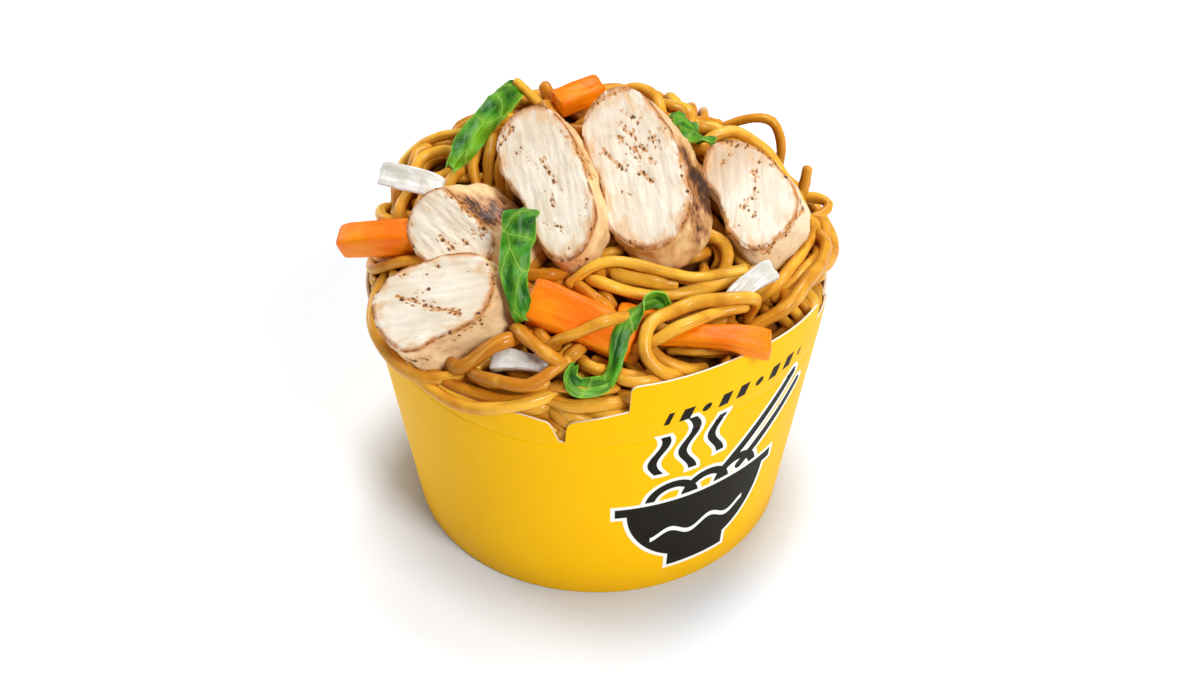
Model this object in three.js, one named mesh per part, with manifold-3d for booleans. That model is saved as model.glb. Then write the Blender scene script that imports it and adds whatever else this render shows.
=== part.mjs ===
// Takeaway noodle box: a round-based paper tub with four flaps, filled with a heap of noodles
// topped with sliced chicken, carrot sticks, leaf strips and onion pieces.
// Millimetres, +Z up. The tub stands on Z = 0 with its axis on Z and its printed side towards -Y.
// Azimuths are in degrees about Z, 0 towards -Y and growing towards +X.

import * as THREE from 'three';
import { mergeVertices } from 'three/addons/utils/BufferGeometryUtils.js';
import Module from 'manifold-3d';

const wasm = await Module();
wasm.setup();

// Tub
const baseRadius = 45;
const scoreRadius = 50.5;
const scoreHeight = 53;
const cardThickness = 0.6;
const floorHeight = 2;
const squareness = 2.2;
const notchAzimuth = -8;
const columnSpacing = 5;

// Heap
const gap = 0.35;
const sliver = 0.05;
const heapRim = { radius: 54, height: 62 };
const heapRise = 29;
const heapCentre = new THREE.Vector2(-2, 16);
const coreDepth = 4;
const noodleRadius = 1.65;
const noodleDepth = 2.9;

const rad = THREE.MathUtils.degToRad;

// Small seeded generator, so that every run lays the same noodles.
function seededRandom(seed) {
  let state = seed;
  return () => {
    state = (state * 1664525 + 1013904223) % 4294967296;
    return state / 4294967296;
  };
}

function polar(azimuth, radius, height) {
  return new THREE.Vector3(
    radius * Math.sin(rad(azimuth)),
    -radius * Math.cos(rad(azimuth)),
    height,
  );
}

// ---- Closed bodies ----

// Joins equal rings of points into one closed body, with a fan over each end.
function loft(rings) {
  const count = rings[0].length;
  const positions = [];
  const indices = [];
  rings.flat().forEach((point) => positions.push(point.x, point.y, point.z));
  const ends = [rings[0], rings[rings.length - 1]].map((ring) => {
    const middle = new THREE.Vector3();
    ring.forEach((point) => middle.addScaledVector(point, 1 / count));
    positions.push(middle.x, middle.y, middle.z);
    return positions.length / 3 - 1;
  });
  for (let row = 0; row < rings.length - 1; row += 1) {
    for (let i = 0; i < count; i += 1) {
      const a = row * count + i;
      const b = row * count + ((i + 1) % count);
      indices.push(a, b, b + count, a, b + count, a + count);
    }
  }
  const last = (rings.length - 1) * count;
  for (let i = 0; i < count; i += 1) {
    const next = (i + 1) % count;
    indices.push(ends[0], next, i, ends[1], last + i, last + next);
  }
  const geometry = new THREE.BufferGeometry();
  geometry.setAttribute('position', new THREE.Float32BufferAttribute(positions, 3));
  geometry.setIndex(indices);
  return faceOutwards(geometry);
}

function faceOutwards(geometry) {
  const position = geometry.getAttribute('position');
  const index = geometry.getIndex();
  const corners = [0, 1, 2].map(() => new THREE.Vector3());
  let volume = 0;
  for (let i = 0; i < index.count; i += 3) {
    corners.forEach((corner, k) => corner.fromBufferAttribute(position, index.getX(i + k)));
    volume += corners[0].dot(corners[1].clone().cross(corners[2])) / 6;
  }
  if (volume < 0) {
    geometry.setIndex([...index.array].reverse());
  }
  return geometry;
}

function solidOf(geometry) {
  const bare = geometry.clone();
  bare.deleteAttribute('normal');
  bare.deleteAttribute('uv');
  const merged = mergeVertices(bare, 1e-4);
  return new wasm.Manifold(new wasm.Mesh({
    numProp: 3,
    vertProperties: new Float32Array(merged.getAttribute('position').array),
    triVerts: new Uint32Array(merged.getIndex().array),
  }));
}

function geometryOf(solid) {
  const mesh = solid.getMesh();
  const geometry = new THREE.BufferGeometry();
  geometry.setAttribute('position', new THREE.BufferAttribute(mesh.vertProperties, 3));
  geometry.setIndex(new THREE.BufferAttribute(mesh.triVerts, 1));
  return geometry;
}

// The outer body alone: loose scraps are dropped, sealed hollows filled and slivers cleared.
function largestBody(solid) {
  const bodies = solid.simplify(sliver).decompose();
  return bodies.reduce((best, body) => (body.volume() > best.volume() ? body : best));
}

// ---- Tub ----

// Outer radius of the wall, a circle at the base that grows slightly square towards the score.
function wallRadius(azimuth, height) {
  const rise = height / scoreHeight;
  const power = 2 + (squareness - 2) * Math.min(rise, 1);
  const turn = rad(azimuth - notchAzimuth + 45);
  const shape = Math.abs(Math.cos(turn)) ** power + Math.abs(Math.sin(turn)) ** power;
  return (baseRadius + (scoreRadius - baseRadius) * rise) / shape ** (1 / power);
}

// Top edge of a flap from one notch to the next: degrees past the notch, height above the score
// and how far the corner is rounded.
const lowFlapEdge = [
  [0, 0.8, 0],
  [0.7, 0.8, 0.4],
  [2.8, 6.2, 1.2],
  [9, 7.4, 3],
  [81, 7.4, 3],
  [87.2, 6.2, 1.2],
  [89.3, 0.8, 0.4],
];
const tallFlapEdge = [
  [0, 0.8, 0],
  [0.7, 0.8, 0.3],
  [1.4, 6.6, 1.8],
  [15.2, 9.4, 0.3],
  [15.5, 16.6, 1.8],
  [38, 16.3, 6],
  [73.3, 14, 2],
  [73.6, 8.6, 0.3],
  [88.6, 6.6, 1.8],
  [89.3, 0.8, 0.3],
];

// Rounds the corners of a flap edge and fills its long stretches with evenly spaced points.
function flapOutline(edge) {
  const corners = edge.map(([along, up]) => new THREE.Vector2(along, up));
  const outline = [corners[0]];
  for (let i = 1; i < corners.length; i += 1) {
    const corner = corners[i];
    const next = corners[i + 1] ?? new THREE.Vector2(90, edge[0][1]);
    const before = corner.clone().sub(corners[i - 1]);
    const after = next.clone().sub(corner);
    const reach = Math.min(edge[i][2], before.length() * 0.45, after.length() * 0.45);
    const start = corner.clone().addScaledVector(before.normalize(), -reach);
    const end = corner.clone().addScaledVector(after.normalize(), reach);
    outline.push(...new THREE.QuadraticBezierCurve(start, corner, end).getPoints(3));
  }
  outline.push(new THREE.Vector2(90, edge[0][1]));
  const filled = [];
  for (let i = 0; i < outline.length - 1; i += 1) {
    const steps = Math.ceil((outline[i + 1].x - outline[i].x) / columnSpacing);
    for (let step = 0; step < steps; step += 1) {
      filled.push(outline[i].clone().lerp(outline[i + 1], step / steps));
    }
  }
  return filled;
}

const rimEdge = [tallFlapEdge, lowFlapEdge, tallFlapEdge, lowFlapEdge].flatMap((edge, quarter) => (
  flapOutline(edge).map((point) => ({
    azimuth: notchAzimuth + quarter * 90 + point.x,
    height: scoreHeight + point.y,
  }))
));

function tubGeometry() {
  const levels = [0, scoreHeight / 2, scoreHeight];
  const ring = (heightOf, inset) => rimEdge.map((column) => {
    const height = heightOf(column);
    return polar(column.azimuth, wallRadius(column.azimuth, height) - inset, height);
  });
  const outer = levels.map((level) => ring(() => level, 0));
  const inner = [...levels.slice(1).reverse(), floorHeight].map((level) => (
    ring(() => level, cardThickness)
  ));
  const edge = [0, cardThickness].map((inset) => ring((column) => column.height, inset));
  return loft([...outer, ...edge, ...inner]);
}

// ---- Heap ----

// Height of the heap's outer skin: a dome set back from the middle, steep at the back and sides
// and easing down to the front.
function heapHeight(x, y) {
  const offset = new THREE.Vector2(x, y).sub(heapCentre);
  const distance = Math.max(offset.length(), 1e-6);
  const way = offset.clone().divideScalar(distance);
  const along = heapCentre.dot(way);
  const reach = Math.sqrt(along ** 2 - heapCentre.lengthSq() + heapRim.radius ** 2) - along;
  const spread = Math.min(distance / reach, 1);
  const steep = (1 - spread ** 3) ** 0.55;
  const gentle = 1 - spread ** 1.6;
  const frontness = THREE.MathUtils.smoothstep(-way.y, 0, 1);
  return heapRim.height + heapRise * THREE.MathUtils.lerp(steep, gentle, frontness);
}

// A point under the heap's skin at a depth square to it, kept off the card by its own radius.
function underSkin(x, y, depth, radius) {
  const step = 0.05;
  const height = heapHeight(x, y);
  const inward = new THREE.Vector3(
    heapHeight(x + step, y) - height,
    heapHeight(x, y + step) - height,
    -step,
  ).normalize();
  const point = new THREE.Vector3(x, y, height).addScaledVector(inward, depth);
  const azimuth = THREE.MathUtils.radToDeg(Math.atan2(point.x, -point.y));
  const room = wallRadius(azimuth, point.z) - cardThickness - gap - radius;
  const spread = Math.min(1, room / Math.hypot(point.x, point.y));
  return new THREE.Vector3(point.x * spread, point.y * spread, point.z);
}

function coreGeometry() {
  const columns = 48;
  const spreads = [0.995, 0.97, 0.92, 0.83, 0.7, 0.53, 0.34, 0.14];
  const azimuths = Array.from({ length: columns }, (_, i) => (i * 360) / columns);
  const sides = [floorHeight + gap, scoreHeight].map((height) => azimuths.map((azimuth) => (
    polar(azimuth, wallRadius(azimuth, height) - cardThickness - gap, height)
  )));
  const dome = spreads.map((spread) => azimuths.map((azimuth) => {
    const edge = polar(azimuth, heapRim.radius, 0);
    const x = THREE.MathUtils.lerp(heapCentre.x, edge.x, spread);
    const y = THREE.MathUtils.lerp(heapCentre.y, edge.y, spread);
    return underSkin(x, y, coreDepth, 0);
  }));
  return loft([...sides, ...dome]);
}

// Points a few millimetres apart along the smooth curve through a noodle's given places.
function spacedPoints(places) {
  const path = new THREE.CatmullRomCurve3(places);
  return path.getSpacedPoints(Math.round(path.getLength() / 4));
}

// A noodle: a six-sided tube along a smooth curve.
function noodleGeometry(points) {
  const path = new THREE.CatmullRomCurve3(points);
  const section = new THREE.Shape();
  for (let i = 0; i < 6; i += 1) {
    const angle = rad(i * 60);
    const x = noodleRadius * 1.06 * Math.cos(angle);
    const y = noodleRadius * 1.06 * Math.sin(angle);
    if (i === 0) {
      section.moveTo(x, y);
    } else {
      section.lineTo(x, y);
    }
  }
  return new THREE.ExtrudeGeometry(section, {
    steps: Math.max(6, Math.round(path.getLength() / 4.8)),
    extrudePath: path,
    bevelEnabled: false,
  });
}

// Noodles that stand out of the heap, each from where it leaves the core to where it dips back.
const standingNoodles = [
  // The long loop that hangs over the rim round the front left.
  [polar(-82, 46, 66), polar(-72, 51, 64), polar(-63, 54, 62.5), polar(-52, 54.4, 61), polar(-42, 54, 61.8),
    polar(-35, 50, 63.2), polar(-30, 43, 64)],
  // The loop in front of it.
  [polar(-54, 46, 62.8), polar(-47, 53.4, 61.8), polar(-37, 54.6, 60.4), polar(-28, 54.9, 60.8),
    polar(-18, 53, 63), polar(-9, 47, 63.6), polar(0, 40, 65.5)],
  // The loop over the rim at the right.
  [polar(70, 44, 69), polar(80, 51.5, 67), polar(94, 54.3, 64.6), polar(110, 53.5, 66.5),
    polar(124, 46, 74)],
  // The arch at the back right.
  [polar(132, 36, 82), polar(124, 41.5, 85), polar(119, 45.9, 86.4), polar(115, 48.2, 85),
    polar(113, 48.5, 79), polar(111, 44, 71)],
  // The arch at the left.
  [polar(-102, 47, 66), polar(-109, 49, 73.5), polar(-115, 47.9, 78), polar(-119, 42, 83),
    polar(-126, 33, 85)],
  // The hook at the right.
  [polar(107, 48, 70), polar(103, 53.3, 71), polar(99.5, 54.2, 70.3), polar(96, 47, 68.5)],
  // Loose ends at the right and at the back.
  [polar(107, 51, 77), polar(105, 49, 71), polar(101, 43, 67)],
  [polar(-148, 34, 92.5), polar(-152, 29.5, 89.5), polar(-160, 22, 85)],
];

// Noodles that lie across the open front of the heap, between the toppings: places in plan, and
// how far each is lifted by those it crosses.
const frontNoodles = [
  { lift: 0.9, places: [[-5, -30], [2, -27.5], [12, -26.5], [22, -25.5], [31, -21.5], [47, -16]] },
  { lift: 0.2, places: [[10, -31], [18, -30.5], [27, -29.5], [38, -28], [44, -21], [49, -9]] },
  { lift: 0.9, places: [[33, -32], [26, -33], [18, -33.5], [12, -37], [10.5, -42], [14, -47]] },
  { lift: 0, places: [[36, -33], [41, -26], [45, -20], [48, -12], [50, -3]] },
  { lift: 0.3, places: [[-14, -39], [-8, -42], [-2, -45], [6, -46.5]] },
  { lift: 0, places: [[-36, -38], [-28, -44.5], [-18, -46.5], [-9, -45], [-2, -43]] },
  { lift: 0, places: [[-16, -49], [-7, -49], [2, -48.5], [12, -46], [22, -43]] },
];

// Lets a noodle run over the heap from a start point, bending evenly; at the rim it turns and
// follows the rim round.
function wanderingNoodle(start, heading, bend, length) {
  const step = 5;
  const limit = 50;
  const position = new THREE.Vector2(start.x, start.y);
  const points = [];
  let angle = heading;
  for (let run = 0; run <= length; run += step) {
    points.push(underSkin(position.x, position.y, noodleDepth, noodleRadius));
    const next = new THREE.Vector2(Math.cos(angle), Math.sin(angle))
      .multiplyScalar(step)
      .add(position)
      .clampLength(0, limit);
    angle = next.clone().sub(position).angle() + bend * step;
    position.copy(next);
  }
  return points;
}

// The longest run of a noodle's points that stays clear of the toppings by a margin.
function clearRun(points, toppings, margin) {
  let best = [];
  let run = [];
  points.forEach((point) => {
    const isClear = toppings.every((topping) => !topping.reaches(point, margin));
    run = isClear ? [...run, point] : [];
    best = run.length > best.length ? run : best;
  });
  return best;
}

// ---- Toppings ----

// A right-handed frame: out is the way a face looks, along its long axis, turned by roll from
// straight up the face.
function faceFrame([azimuth, elevation], roll) {
  const out = polar(azimuth, Math.cos(rad(elevation)), Math.sin(rad(elevation)));
  const up = polar(azimuth, -Math.sin(rad(elevation)), Math.cos(rad(elevation)));
  const along = up.applyAxisAngle(out, -rad(roll));
  return { out, along, across: out.clone().cross(along) };
}

// A slice of chicken breast: a rounded slab behind its cut face, wider in the middle of its
// thickness, with a slightly lobed outline.
const slices = [
  {
    name: 'chicken_1', at: [-34.6, -31.8, 75.2], face: [-22, 52], roll: 66,
    length: 29, width: 21, thickness: 11,
  },
  {
    name: 'chicken_2', at: [-27.2, -14.2, 83.2], face: [-34, 46], roll: -72,
    length: 33, width: 19, thickness: 15,
  },
  {
    name: 'chicken_3', at: [-10.1, -12.2, 89.4], face: [-28, 50], roll: -33,
    length: 40, width: 20, thickness: 12,
  },
  {
    name: 'chicken_4', at: [10.6, -8.8, 92.2], face: [-17, 50], roll: -23,
    length: 39, width: 28, thickness: 13,
  },
  {
    name: 'chicken_5', at: [35.6, -7.8, 86.2], face: [8, 50], roll: 4,
    length: 25, width: 25, thickness: 12,
  },
];

function sliceGeometry({ at, face, roll, length, width, thickness }, grow = 0) {
  const { out, along, across } = faceFrame(face, roll);
  const centre = new THREE.Vector3(...at);
  const sides = 22;
  const layers = [
    [-1, 0.74], [-0.88, 0.9], [-0.6, 1], [-0.3, 1.03], [-0.08, 0.98], [0, 0.92],
  ];
  const rings = layers.map(([depth, spread]) => Array.from({ length: sides }, (_, i) => {
    const angle = (i * 2 * Math.PI) / sides;
    const lobes = 1 + 0.035 * Math.sin(3 * angle + length) + 0.025 * Math.cos(5 * angle + width);
    const square = (Math.abs(Math.cos(angle)) ** 2.4 + Math.abs(Math.sin(angle)) ** 2.4) ** (-1 / 2.4);
    const reach = spread * lobes * square;
    const away = depth * thickness + grow * (1 + 2 * depth);
    return centre.clone()
      .addScaledVector(out, away)
      .addScaledVector(along, Math.cos(angle) * (reach * length * 0.5 + grow))
      .addScaledVector(across, Math.sin(angle) * (reach * width * 0.5 + grow));
  }));
  return loft(rings);
}

function sliceReaches({ at, face, roll, length, width, thickness }, point, margin) {
  const { out, along, across } = faceFrame(face, roll);
  const offset = point.clone().sub(new THREE.Vector3(...at));
  const away = offset.dot(out);
  const alongPart = offset.dot(along) / (length / 2 + margin);
  const acrossPart = offset.dot(across) / (width / 2 + margin);
  return away < margin && away > -thickness - margin && alongPart ** 2 + acrossPart ** 2 < 1.1;
}

// A cut stick: a four-sided bar with bevelled edges between two points, bowed upwards by bow,
// as wide and as high as given at its first end and scaled by taper at its last.
const carrots = [
  {
    name: 'carrot_1', from: [-56.5, -4, 71], to: [-38, -8.5, 75.5],
    width: 6, height: 7, taper: 1, bow: 0,
  },
  {
    name: 'carrot_2', from: [-14, -31.2, 75.4], to: [5.5, -40.2, 70.6],
    width: 9, height: 7, taper: 0.78, bow: 0,
  },
  {
    name: 'carrot_3', from: [14, -38.2, 71.2], to: [36.2, -40.2, 73.1],
    width: 7.5, height: 6, taper: 0.95, bow: 0.8,
  },
  {
    name: 'carrot_4', from: [-8.5, 19.5, 91.5], to: [1.5, 24.5, 93.2],
    width: 7.5, height: 6, taper: 0.8, bow: 0,
  },
  {
    name: 'carrot_5', from: [4.5, -33, 72.8], to: [12.5, -34.5, 71.8],
    width: 6, height: 4, taper: 1, bow: 0,
  },
];
const onions = [
  {
    name: 'onion_1', from: [-47.3, 0, 87], to: [-33.5, -1.5, 83.2],
    width: 4.6, height: 3, taper: 1, bow: 0.8,
  },
  {
    name: 'onion_2', from: [-21.5, -41, 66.8], to: [-9.5, -43.8, 67.2],
    width: 5, height: 3, taper: 0.7, bow: 0.6,
  },
  {
    name: 'onion_3', from: [29, -27.6, 72.4], to: [38.2, -19.9, 73.4],
    width: 5.5, height: 3.4, taper: 0.8, bow: 0.8,
  },
];

function stickPoint({ from, to, bow }, part) {
  const point = new THREE.Vector3(...from).lerp(new THREE.Vector3(...to), part);
  point.z += bow * 4 * part * (1 - part);
  return point;
}

function stickGeometry(stick, grow = 0) {
  const stations = 5;
  const bevel = 0.16;
  const way = stickPoint(stick, 1).sub(stickPoint(stick, 0)).normalize();
  const side = way.clone().cross(new THREE.Vector3(0, 0, 1)).normalize();
  const up = side.clone().cross(way);
  const corners = [[1, 1], [-1, 1], [-1, -1], [1, -1]].flatMap(([x, z]) => (
    x * z > 0
      ? [[x * 0.5, z * (0.5 - bevel)], [x * (0.5 - bevel), z * 0.5]]
      : [[x * (0.5 - bevel), z * 0.5], [x * 0.5, z * (0.5 - bevel)]]
  ));
  const rings = Array.from({ length: stations }, (_, i) => {
    const part = i / (stations - 1);
    const scale = THREE.MathUtils.lerp(1, stick.taper, part);
    return corners.map(([x, z]) => stickPoint(stick, part)
      .addScaledVector(way, grow * (2 * part - 1))
      .addScaledVector(side, x * (stick.width * scale + 2 * grow))
      .addScaledVector(up, z * (stick.height * scale + 2 * grow)));
  });
  return loft(rings);
}

function stickReaches(stick, point, margin) {
  const line = new THREE.Line3(stickPoint(stick, 0), stickPoint(stick, 1));
  const nearest = line.closestPointToPoint(point, true, new THREE.Vector3());
  return nearest.distanceTo(point) < Math.max(stick.width, stick.height) / 2 + margin;
}

// A strip of leaf: a thin wavy ribbon along a curve, cupped across its width. Side is the way
// its width runs.
const leafThickness = 0.7;
const leaves = [
  {
    name: 'leaf_1', width: 6.5, side: [0.8, 0.35, -0.3],
    path: [[-17.5, 30.5, 91.5], [-22, 18.3, 92.6], [-27, 8.1, 90.8], [-31.5, 0.9, 87]],
  },
  {
    name: 'leaf_2', width: 7.5, side: [1, 0.1, 0.15],
    path: [[-15.6, -20.5, 89.6], [-16, -23.5, 87.8], [-16.6, -27, 85.5], [-16.9, -31.4, 81.6],
      [-15.6, -35, 77.5]],
  },
  {
    name: 'leaf_3', width: 5, side: [0.75, 0.5, 0.4],
    path: [[14.5, -34, 75], [11.3, -33, 76.8], [8.4, -35, 76.4], [6.5, -39.4, 74.4], [4.6, -44.2, 71.6],
      [0.8, -47.7, 69], [-3.5, -48.6, 68], [-6.5, -47, 69.4]],
  },
  {
    name: 'leaf_4', width: 6, side: [0.3, 0.6, -0.5],
    path: [[18.5, 13.4, 93.6], [21.1, 10, 92.4], [22.5, 6.4, 91.2], [26.3, 7, 91]],
  },
];

function leafGeometry({ path, side, width }, grow = 0) {
  const curve = new THREE.CatmullRomCurve3(path.map((point) => new THREE.Vector3(...point)));
  const stations = 9;
  const lanes = 3;
  const half = leafThickness / 2 + grow;
  const widest = width + 2 * grow;
  const sideWay = new THREE.Vector3(...side).normalize();
  const rings = Array.from({ length: stations + 1 }, (_, i) => {
    const part = i / stations;
    const tangent = curve.getTangentAt(part);
    const across = sideWay.clone().addScaledVector(tangent, -sideWay.dot(tangent)).normalize();
    const normal = across.clone().cross(tangent);
    const taper = 0.72 + 0.28 * Math.sin(Math.PI * part);
    const lane = (j, face) => {
      const spread = j / lanes - 0.5;
      const cup = 0.9 * (4 * spread ** 2) + 0.5 * Math.sin(9 * part + 4 * spread);
      return curve.getPointAt(part)
        .addScaledVector(tangent, grow * (2 * part - 1))
        .addScaledVector(across, spread * widest * taper)
        .addScaledVector(normal, cup + face * half);
    };
    const steps = Array.from({ length: lanes + 1 }, (__, j) => j);
    return [...steps.map((j) => lane(j, 1)), ...steps.reverse().map((j) => lane(j, -1))];
  });
  return loft(rings);
}

function leafReaches({ path, width }, point, margin) {
  return path.some((place) => new THREE.Vector3(...place).distanceTo(point) < width / 2 + margin);
}

// ---- Assembly ----

const materials = {
  card: { color: 0xf8c40c, roughness: 0.45 },
  noodle: { color: 0xd9963a, roughness: 0.35 },
  chicken: { color: 0xe9dcc4, roughness: 0.55 },
  carrot: { color: 0xf57a1c, roughness: 0.4 },
  leaf: { color: 0x2f7d1f, roughness: 0.4 },
  onion: { color: 0xece8ea, roughness: 0.3 },
};

function namedMesh(name, geometry, material) {
  const flat = geometry.index ? geometry.toNonIndexed() : geometry;
  flat.computeVertexNormals();
  const mesh = new THREE.Mesh(
    flat,
    new THREE.MeshStandardMaterial({ ...materials[material], metalness: 0 }),
  );
  mesh.name = name;
  return mesh;
}

// The toppings in order, the uppermost first: each is trimmed to those above it.
const toppings = [
  ...leaves.map((leaf) => ({
    name: leaf.name,
    material: 'leaf',
    shape: (grow) => leafGeometry(leaf, grow),
    reaches: (point, margin) => leafReaches(leaf, point, margin),
  })),
  ...slices.map((slice) => ({
    name: slice.name,
    material: 'chicken',
    shape: (grow) => sliceGeometry(slice, grow),
    reaches: (point, margin) => sliceReaches(slice, point, margin),
  })),
  ...[...carrots, ...onions].map((stick) => ({
    name: stick.name,
    material: stick.name.split('_')[0],
    shape: (grow) => stickGeometry(stick, grow),
    reaches: (point, margin) => stickReaches(stick, point, margin),
  })),
];

const noodleBox = new THREE.Group();
noodleBox.add(namedMesh('tub', tubGeometry(), 'card'));

const trimmed = [];
toppings.forEach((topping) => {
  const solid = trimmed.reduce((body, above) => body.subtract(above), solidOf(topping.shape(0)));
  noodleBox.add(namedMesh(topping.name, geometryOf(largestBody(solid)), topping.material));
  trimmed.push(solidOf(topping.shape(gap)));
});

// The heap: the core with the standing noodles first, then wandering ones spread evenly by the
// golden angle.
const wanderingCount = 16;
const goldenAngle = 137.508;
const random = seededRandom(5);
const laid = Array.from({ length: wanderingCount }, (_, i) => {
  const reach = 50 * Math.sqrt((i + 0.5) / wanderingCount);
  const start = polar(i * goldenAngle, reach, 0);
  const heading = random() * 2 * Math.PI;
  const bend = (random() < 0.5 ? -1 : 1) * (0.012 + 0.03 * random());
  return wanderingNoodle(start, heading, bend, 50 + 35 * random());
});
const front = frontNoodles.map(({ lift, places }) => (
  places.map(([x, y]) => underSkin(x, y, noodleDepth - lift, noodleRadius))
));
const noodles = [
  ...[...standingNoodles, ...front].map((places) => clearRun(spacedPoints(places), toppings, 0)),
  ...laid.map((points) => clearRun(points, toppings, noodleRadius + gap)),
].filter((points) => points.length > 3);
const fused = noodles.reduce(
  (body, points) => body.add(solidOf(noodleGeometry(points))),
  solidOf(coreGeometry()),
);
const heap = trimmed.reduce((body, topping) => body.subtract(topping), fused);
noodleBox.add(namedMesh('noodles', geometryOf(largestBody(heap)), 'noodle'));

export default noodleBox;
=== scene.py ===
import math

import bpy
import numpy as np
from mathutils import Matrix, Vector, noise
from mathutils.bvhtree import BVHTree


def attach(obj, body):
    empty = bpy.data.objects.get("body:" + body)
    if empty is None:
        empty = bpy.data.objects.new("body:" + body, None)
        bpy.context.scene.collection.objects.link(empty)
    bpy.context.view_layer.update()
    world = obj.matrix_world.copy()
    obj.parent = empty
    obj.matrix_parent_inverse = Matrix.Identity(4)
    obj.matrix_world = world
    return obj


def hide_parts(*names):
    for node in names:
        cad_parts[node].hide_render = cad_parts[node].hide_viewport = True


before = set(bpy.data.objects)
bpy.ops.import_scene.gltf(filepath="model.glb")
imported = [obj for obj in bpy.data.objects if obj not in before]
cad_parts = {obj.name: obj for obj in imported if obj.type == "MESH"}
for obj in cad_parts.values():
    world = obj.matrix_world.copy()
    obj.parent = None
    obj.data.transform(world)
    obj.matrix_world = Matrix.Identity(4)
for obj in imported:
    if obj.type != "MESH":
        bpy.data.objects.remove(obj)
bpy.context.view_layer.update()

mm = 0.001  # every size below is in millimetres and goes through this


cameraSet = {
    "place": (0.72, -280.17, 265.85),
    "elevation": 38.9,  # degrees down from level
    "roll": 0.4,
    "lens": 45.3,
    "sensor": 36.0,
}


def makeCamera():
    tilt = math.radians(cameraSet["elevation"])
    roll = math.radians(cameraSet["roll"])
    right = Vector((1, 0, 0))
    up = Vector((0, math.sin(tilt), math.cos(tilt)))
    back = Vector((0, -math.cos(tilt), math.sin(tilt)))
    bpy.ops.object.camera_add(location=Vector(cameraSet["place"]) * mm)
    camera = bpy.context.object
    turned = Matrix((
        right * math.cos(roll) - up * math.sin(roll),
        right * math.sin(roll) + up * math.cos(roll),
        back,
    )).transposed()
    camera.rotation_euler = turned.to_euler()
    camera.data.lens = cameraSet["lens"]
    camera.data.sensor_width = cameraSet["sensor"]
    camera.data.clip_start = 0.01
    bpy.context.scene.camera = camera


makeCamera()
print("camera made")


def smooth(low, high, value):
    t = np.clip((value - low) / (high - low), 0, 1)
    return t * t * (3 - 2 * t)


def polar(azimuth, radius, height):
    turn = math.radians(azimuth)
    return Vector((radius * math.sin(turn), -radius * math.cos(turn), height))


def unit(rows):
    return rows / np.linalg.norm(rows, axis=1)[:, None]


def lengthsAlong(points):
    return np.concatenate([[0], np.cumsum(np.linalg.norm(np.diff(points, axis=0), axis=1))])


def reachAround(values, degrees):
    # smooth closed outline through reaches given at even angles
    step = 360 / len(values)
    spot = (degrees % 360) / step
    i = int(spot)
    t = spot - i
    a, b, c, d = (values[(i + k) % len(values)] for k in (-1, 0, 1, 2))
    return b + 0.5 * t * (c - a + t * (2 * a - 5 * b + 4 * c - d + t * (3 * (b - c) + d - a)))


def curvePoint(points, part):
    # Catmull-Rom curve through a few points, part runs from 0 to 1
    spot = min(max(part, 0), 1) * (len(points) - 1)
    i = min(int(spot), len(points) - 2)
    t = spot - i
    a, b, c, d = (Vector(points[min(max(i + k, 0), len(points) - 1)]) for k in (-1, 0, 1, 2))
    return b + 0.5 * t * (c - a + t * (2 * a - 5 * b + 4 * c - d + t * (3 * (b - c) + d - a)))


def deselectAll():
    if bpy.context.object and bpy.context.object.mode != "OBJECT":
        bpy.ops.object.mode_set(mode="OBJECT")
    bpy.ops.object.select_all(action="DESELECT")


def newPiece(name, operator, **settings):
    deselectAll()
    operator(**settings)
    piece = bpy.context.object
    piece.name = name
    piece.data.name = name
    return piece


def applyModifier(piece, kind, **settings):
    modifier = piece.modifiers.new(kind.title(), kind)
    for key, value in settings.items():
        setattr(modifier, key, value)
    bpy.context.view_layer.objects.active = piece
    bpy.ops.object.modifier_apply(modifier=modifier.name)


def moveVertices(piece, place):
    # place turns a vertex's own position into its final one, in millimetres
    for vertex in piece.data.vertices:
        vertex.co = place(vertex.co.copy()) * mm
    piece.data.update()


def choose(piece):
    deselectAll()
    piece.select_set(True)
    bpy.context.view_layer.objects.active = piece


def editAll(piece, operator, **settings):
    choose(piece)
    bpy.ops.object.mode_set(mode="EDIT")
    bpy.ops.mesh.select_all(action="SELECT")
    operator(**settings)
    bpy.ops.object.mode_set(mode="OBJECT")


def finishSurface(piece, degrees=180):
    # faces look outwards, and edges sharper than some degrees stay sharp
    editAll(piece, bpy.ops.mesh.normals_make_consistent, inside=False)
    if degrees < 180:
        bpy.ops.object.shade_smooth_by_angle(angle=math.radians(degrees))
    else:
        bpy.ops.object.shade_smooth()


def paintPoints(piece, name, values, kind="FLOAT"):
    attribute = piece.data.attributes.new(name, kind, "POINT")
    key = "value" if kind == "FLOAT" else "vector"
    attribute.data.foreach_set(key, np.asarray(values, np.float32).ravel())


def settle(piece, material, slot, *nodes):
    piece.data.materials.append(material)
    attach(piece, "root")
    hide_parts(*nodes)


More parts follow.
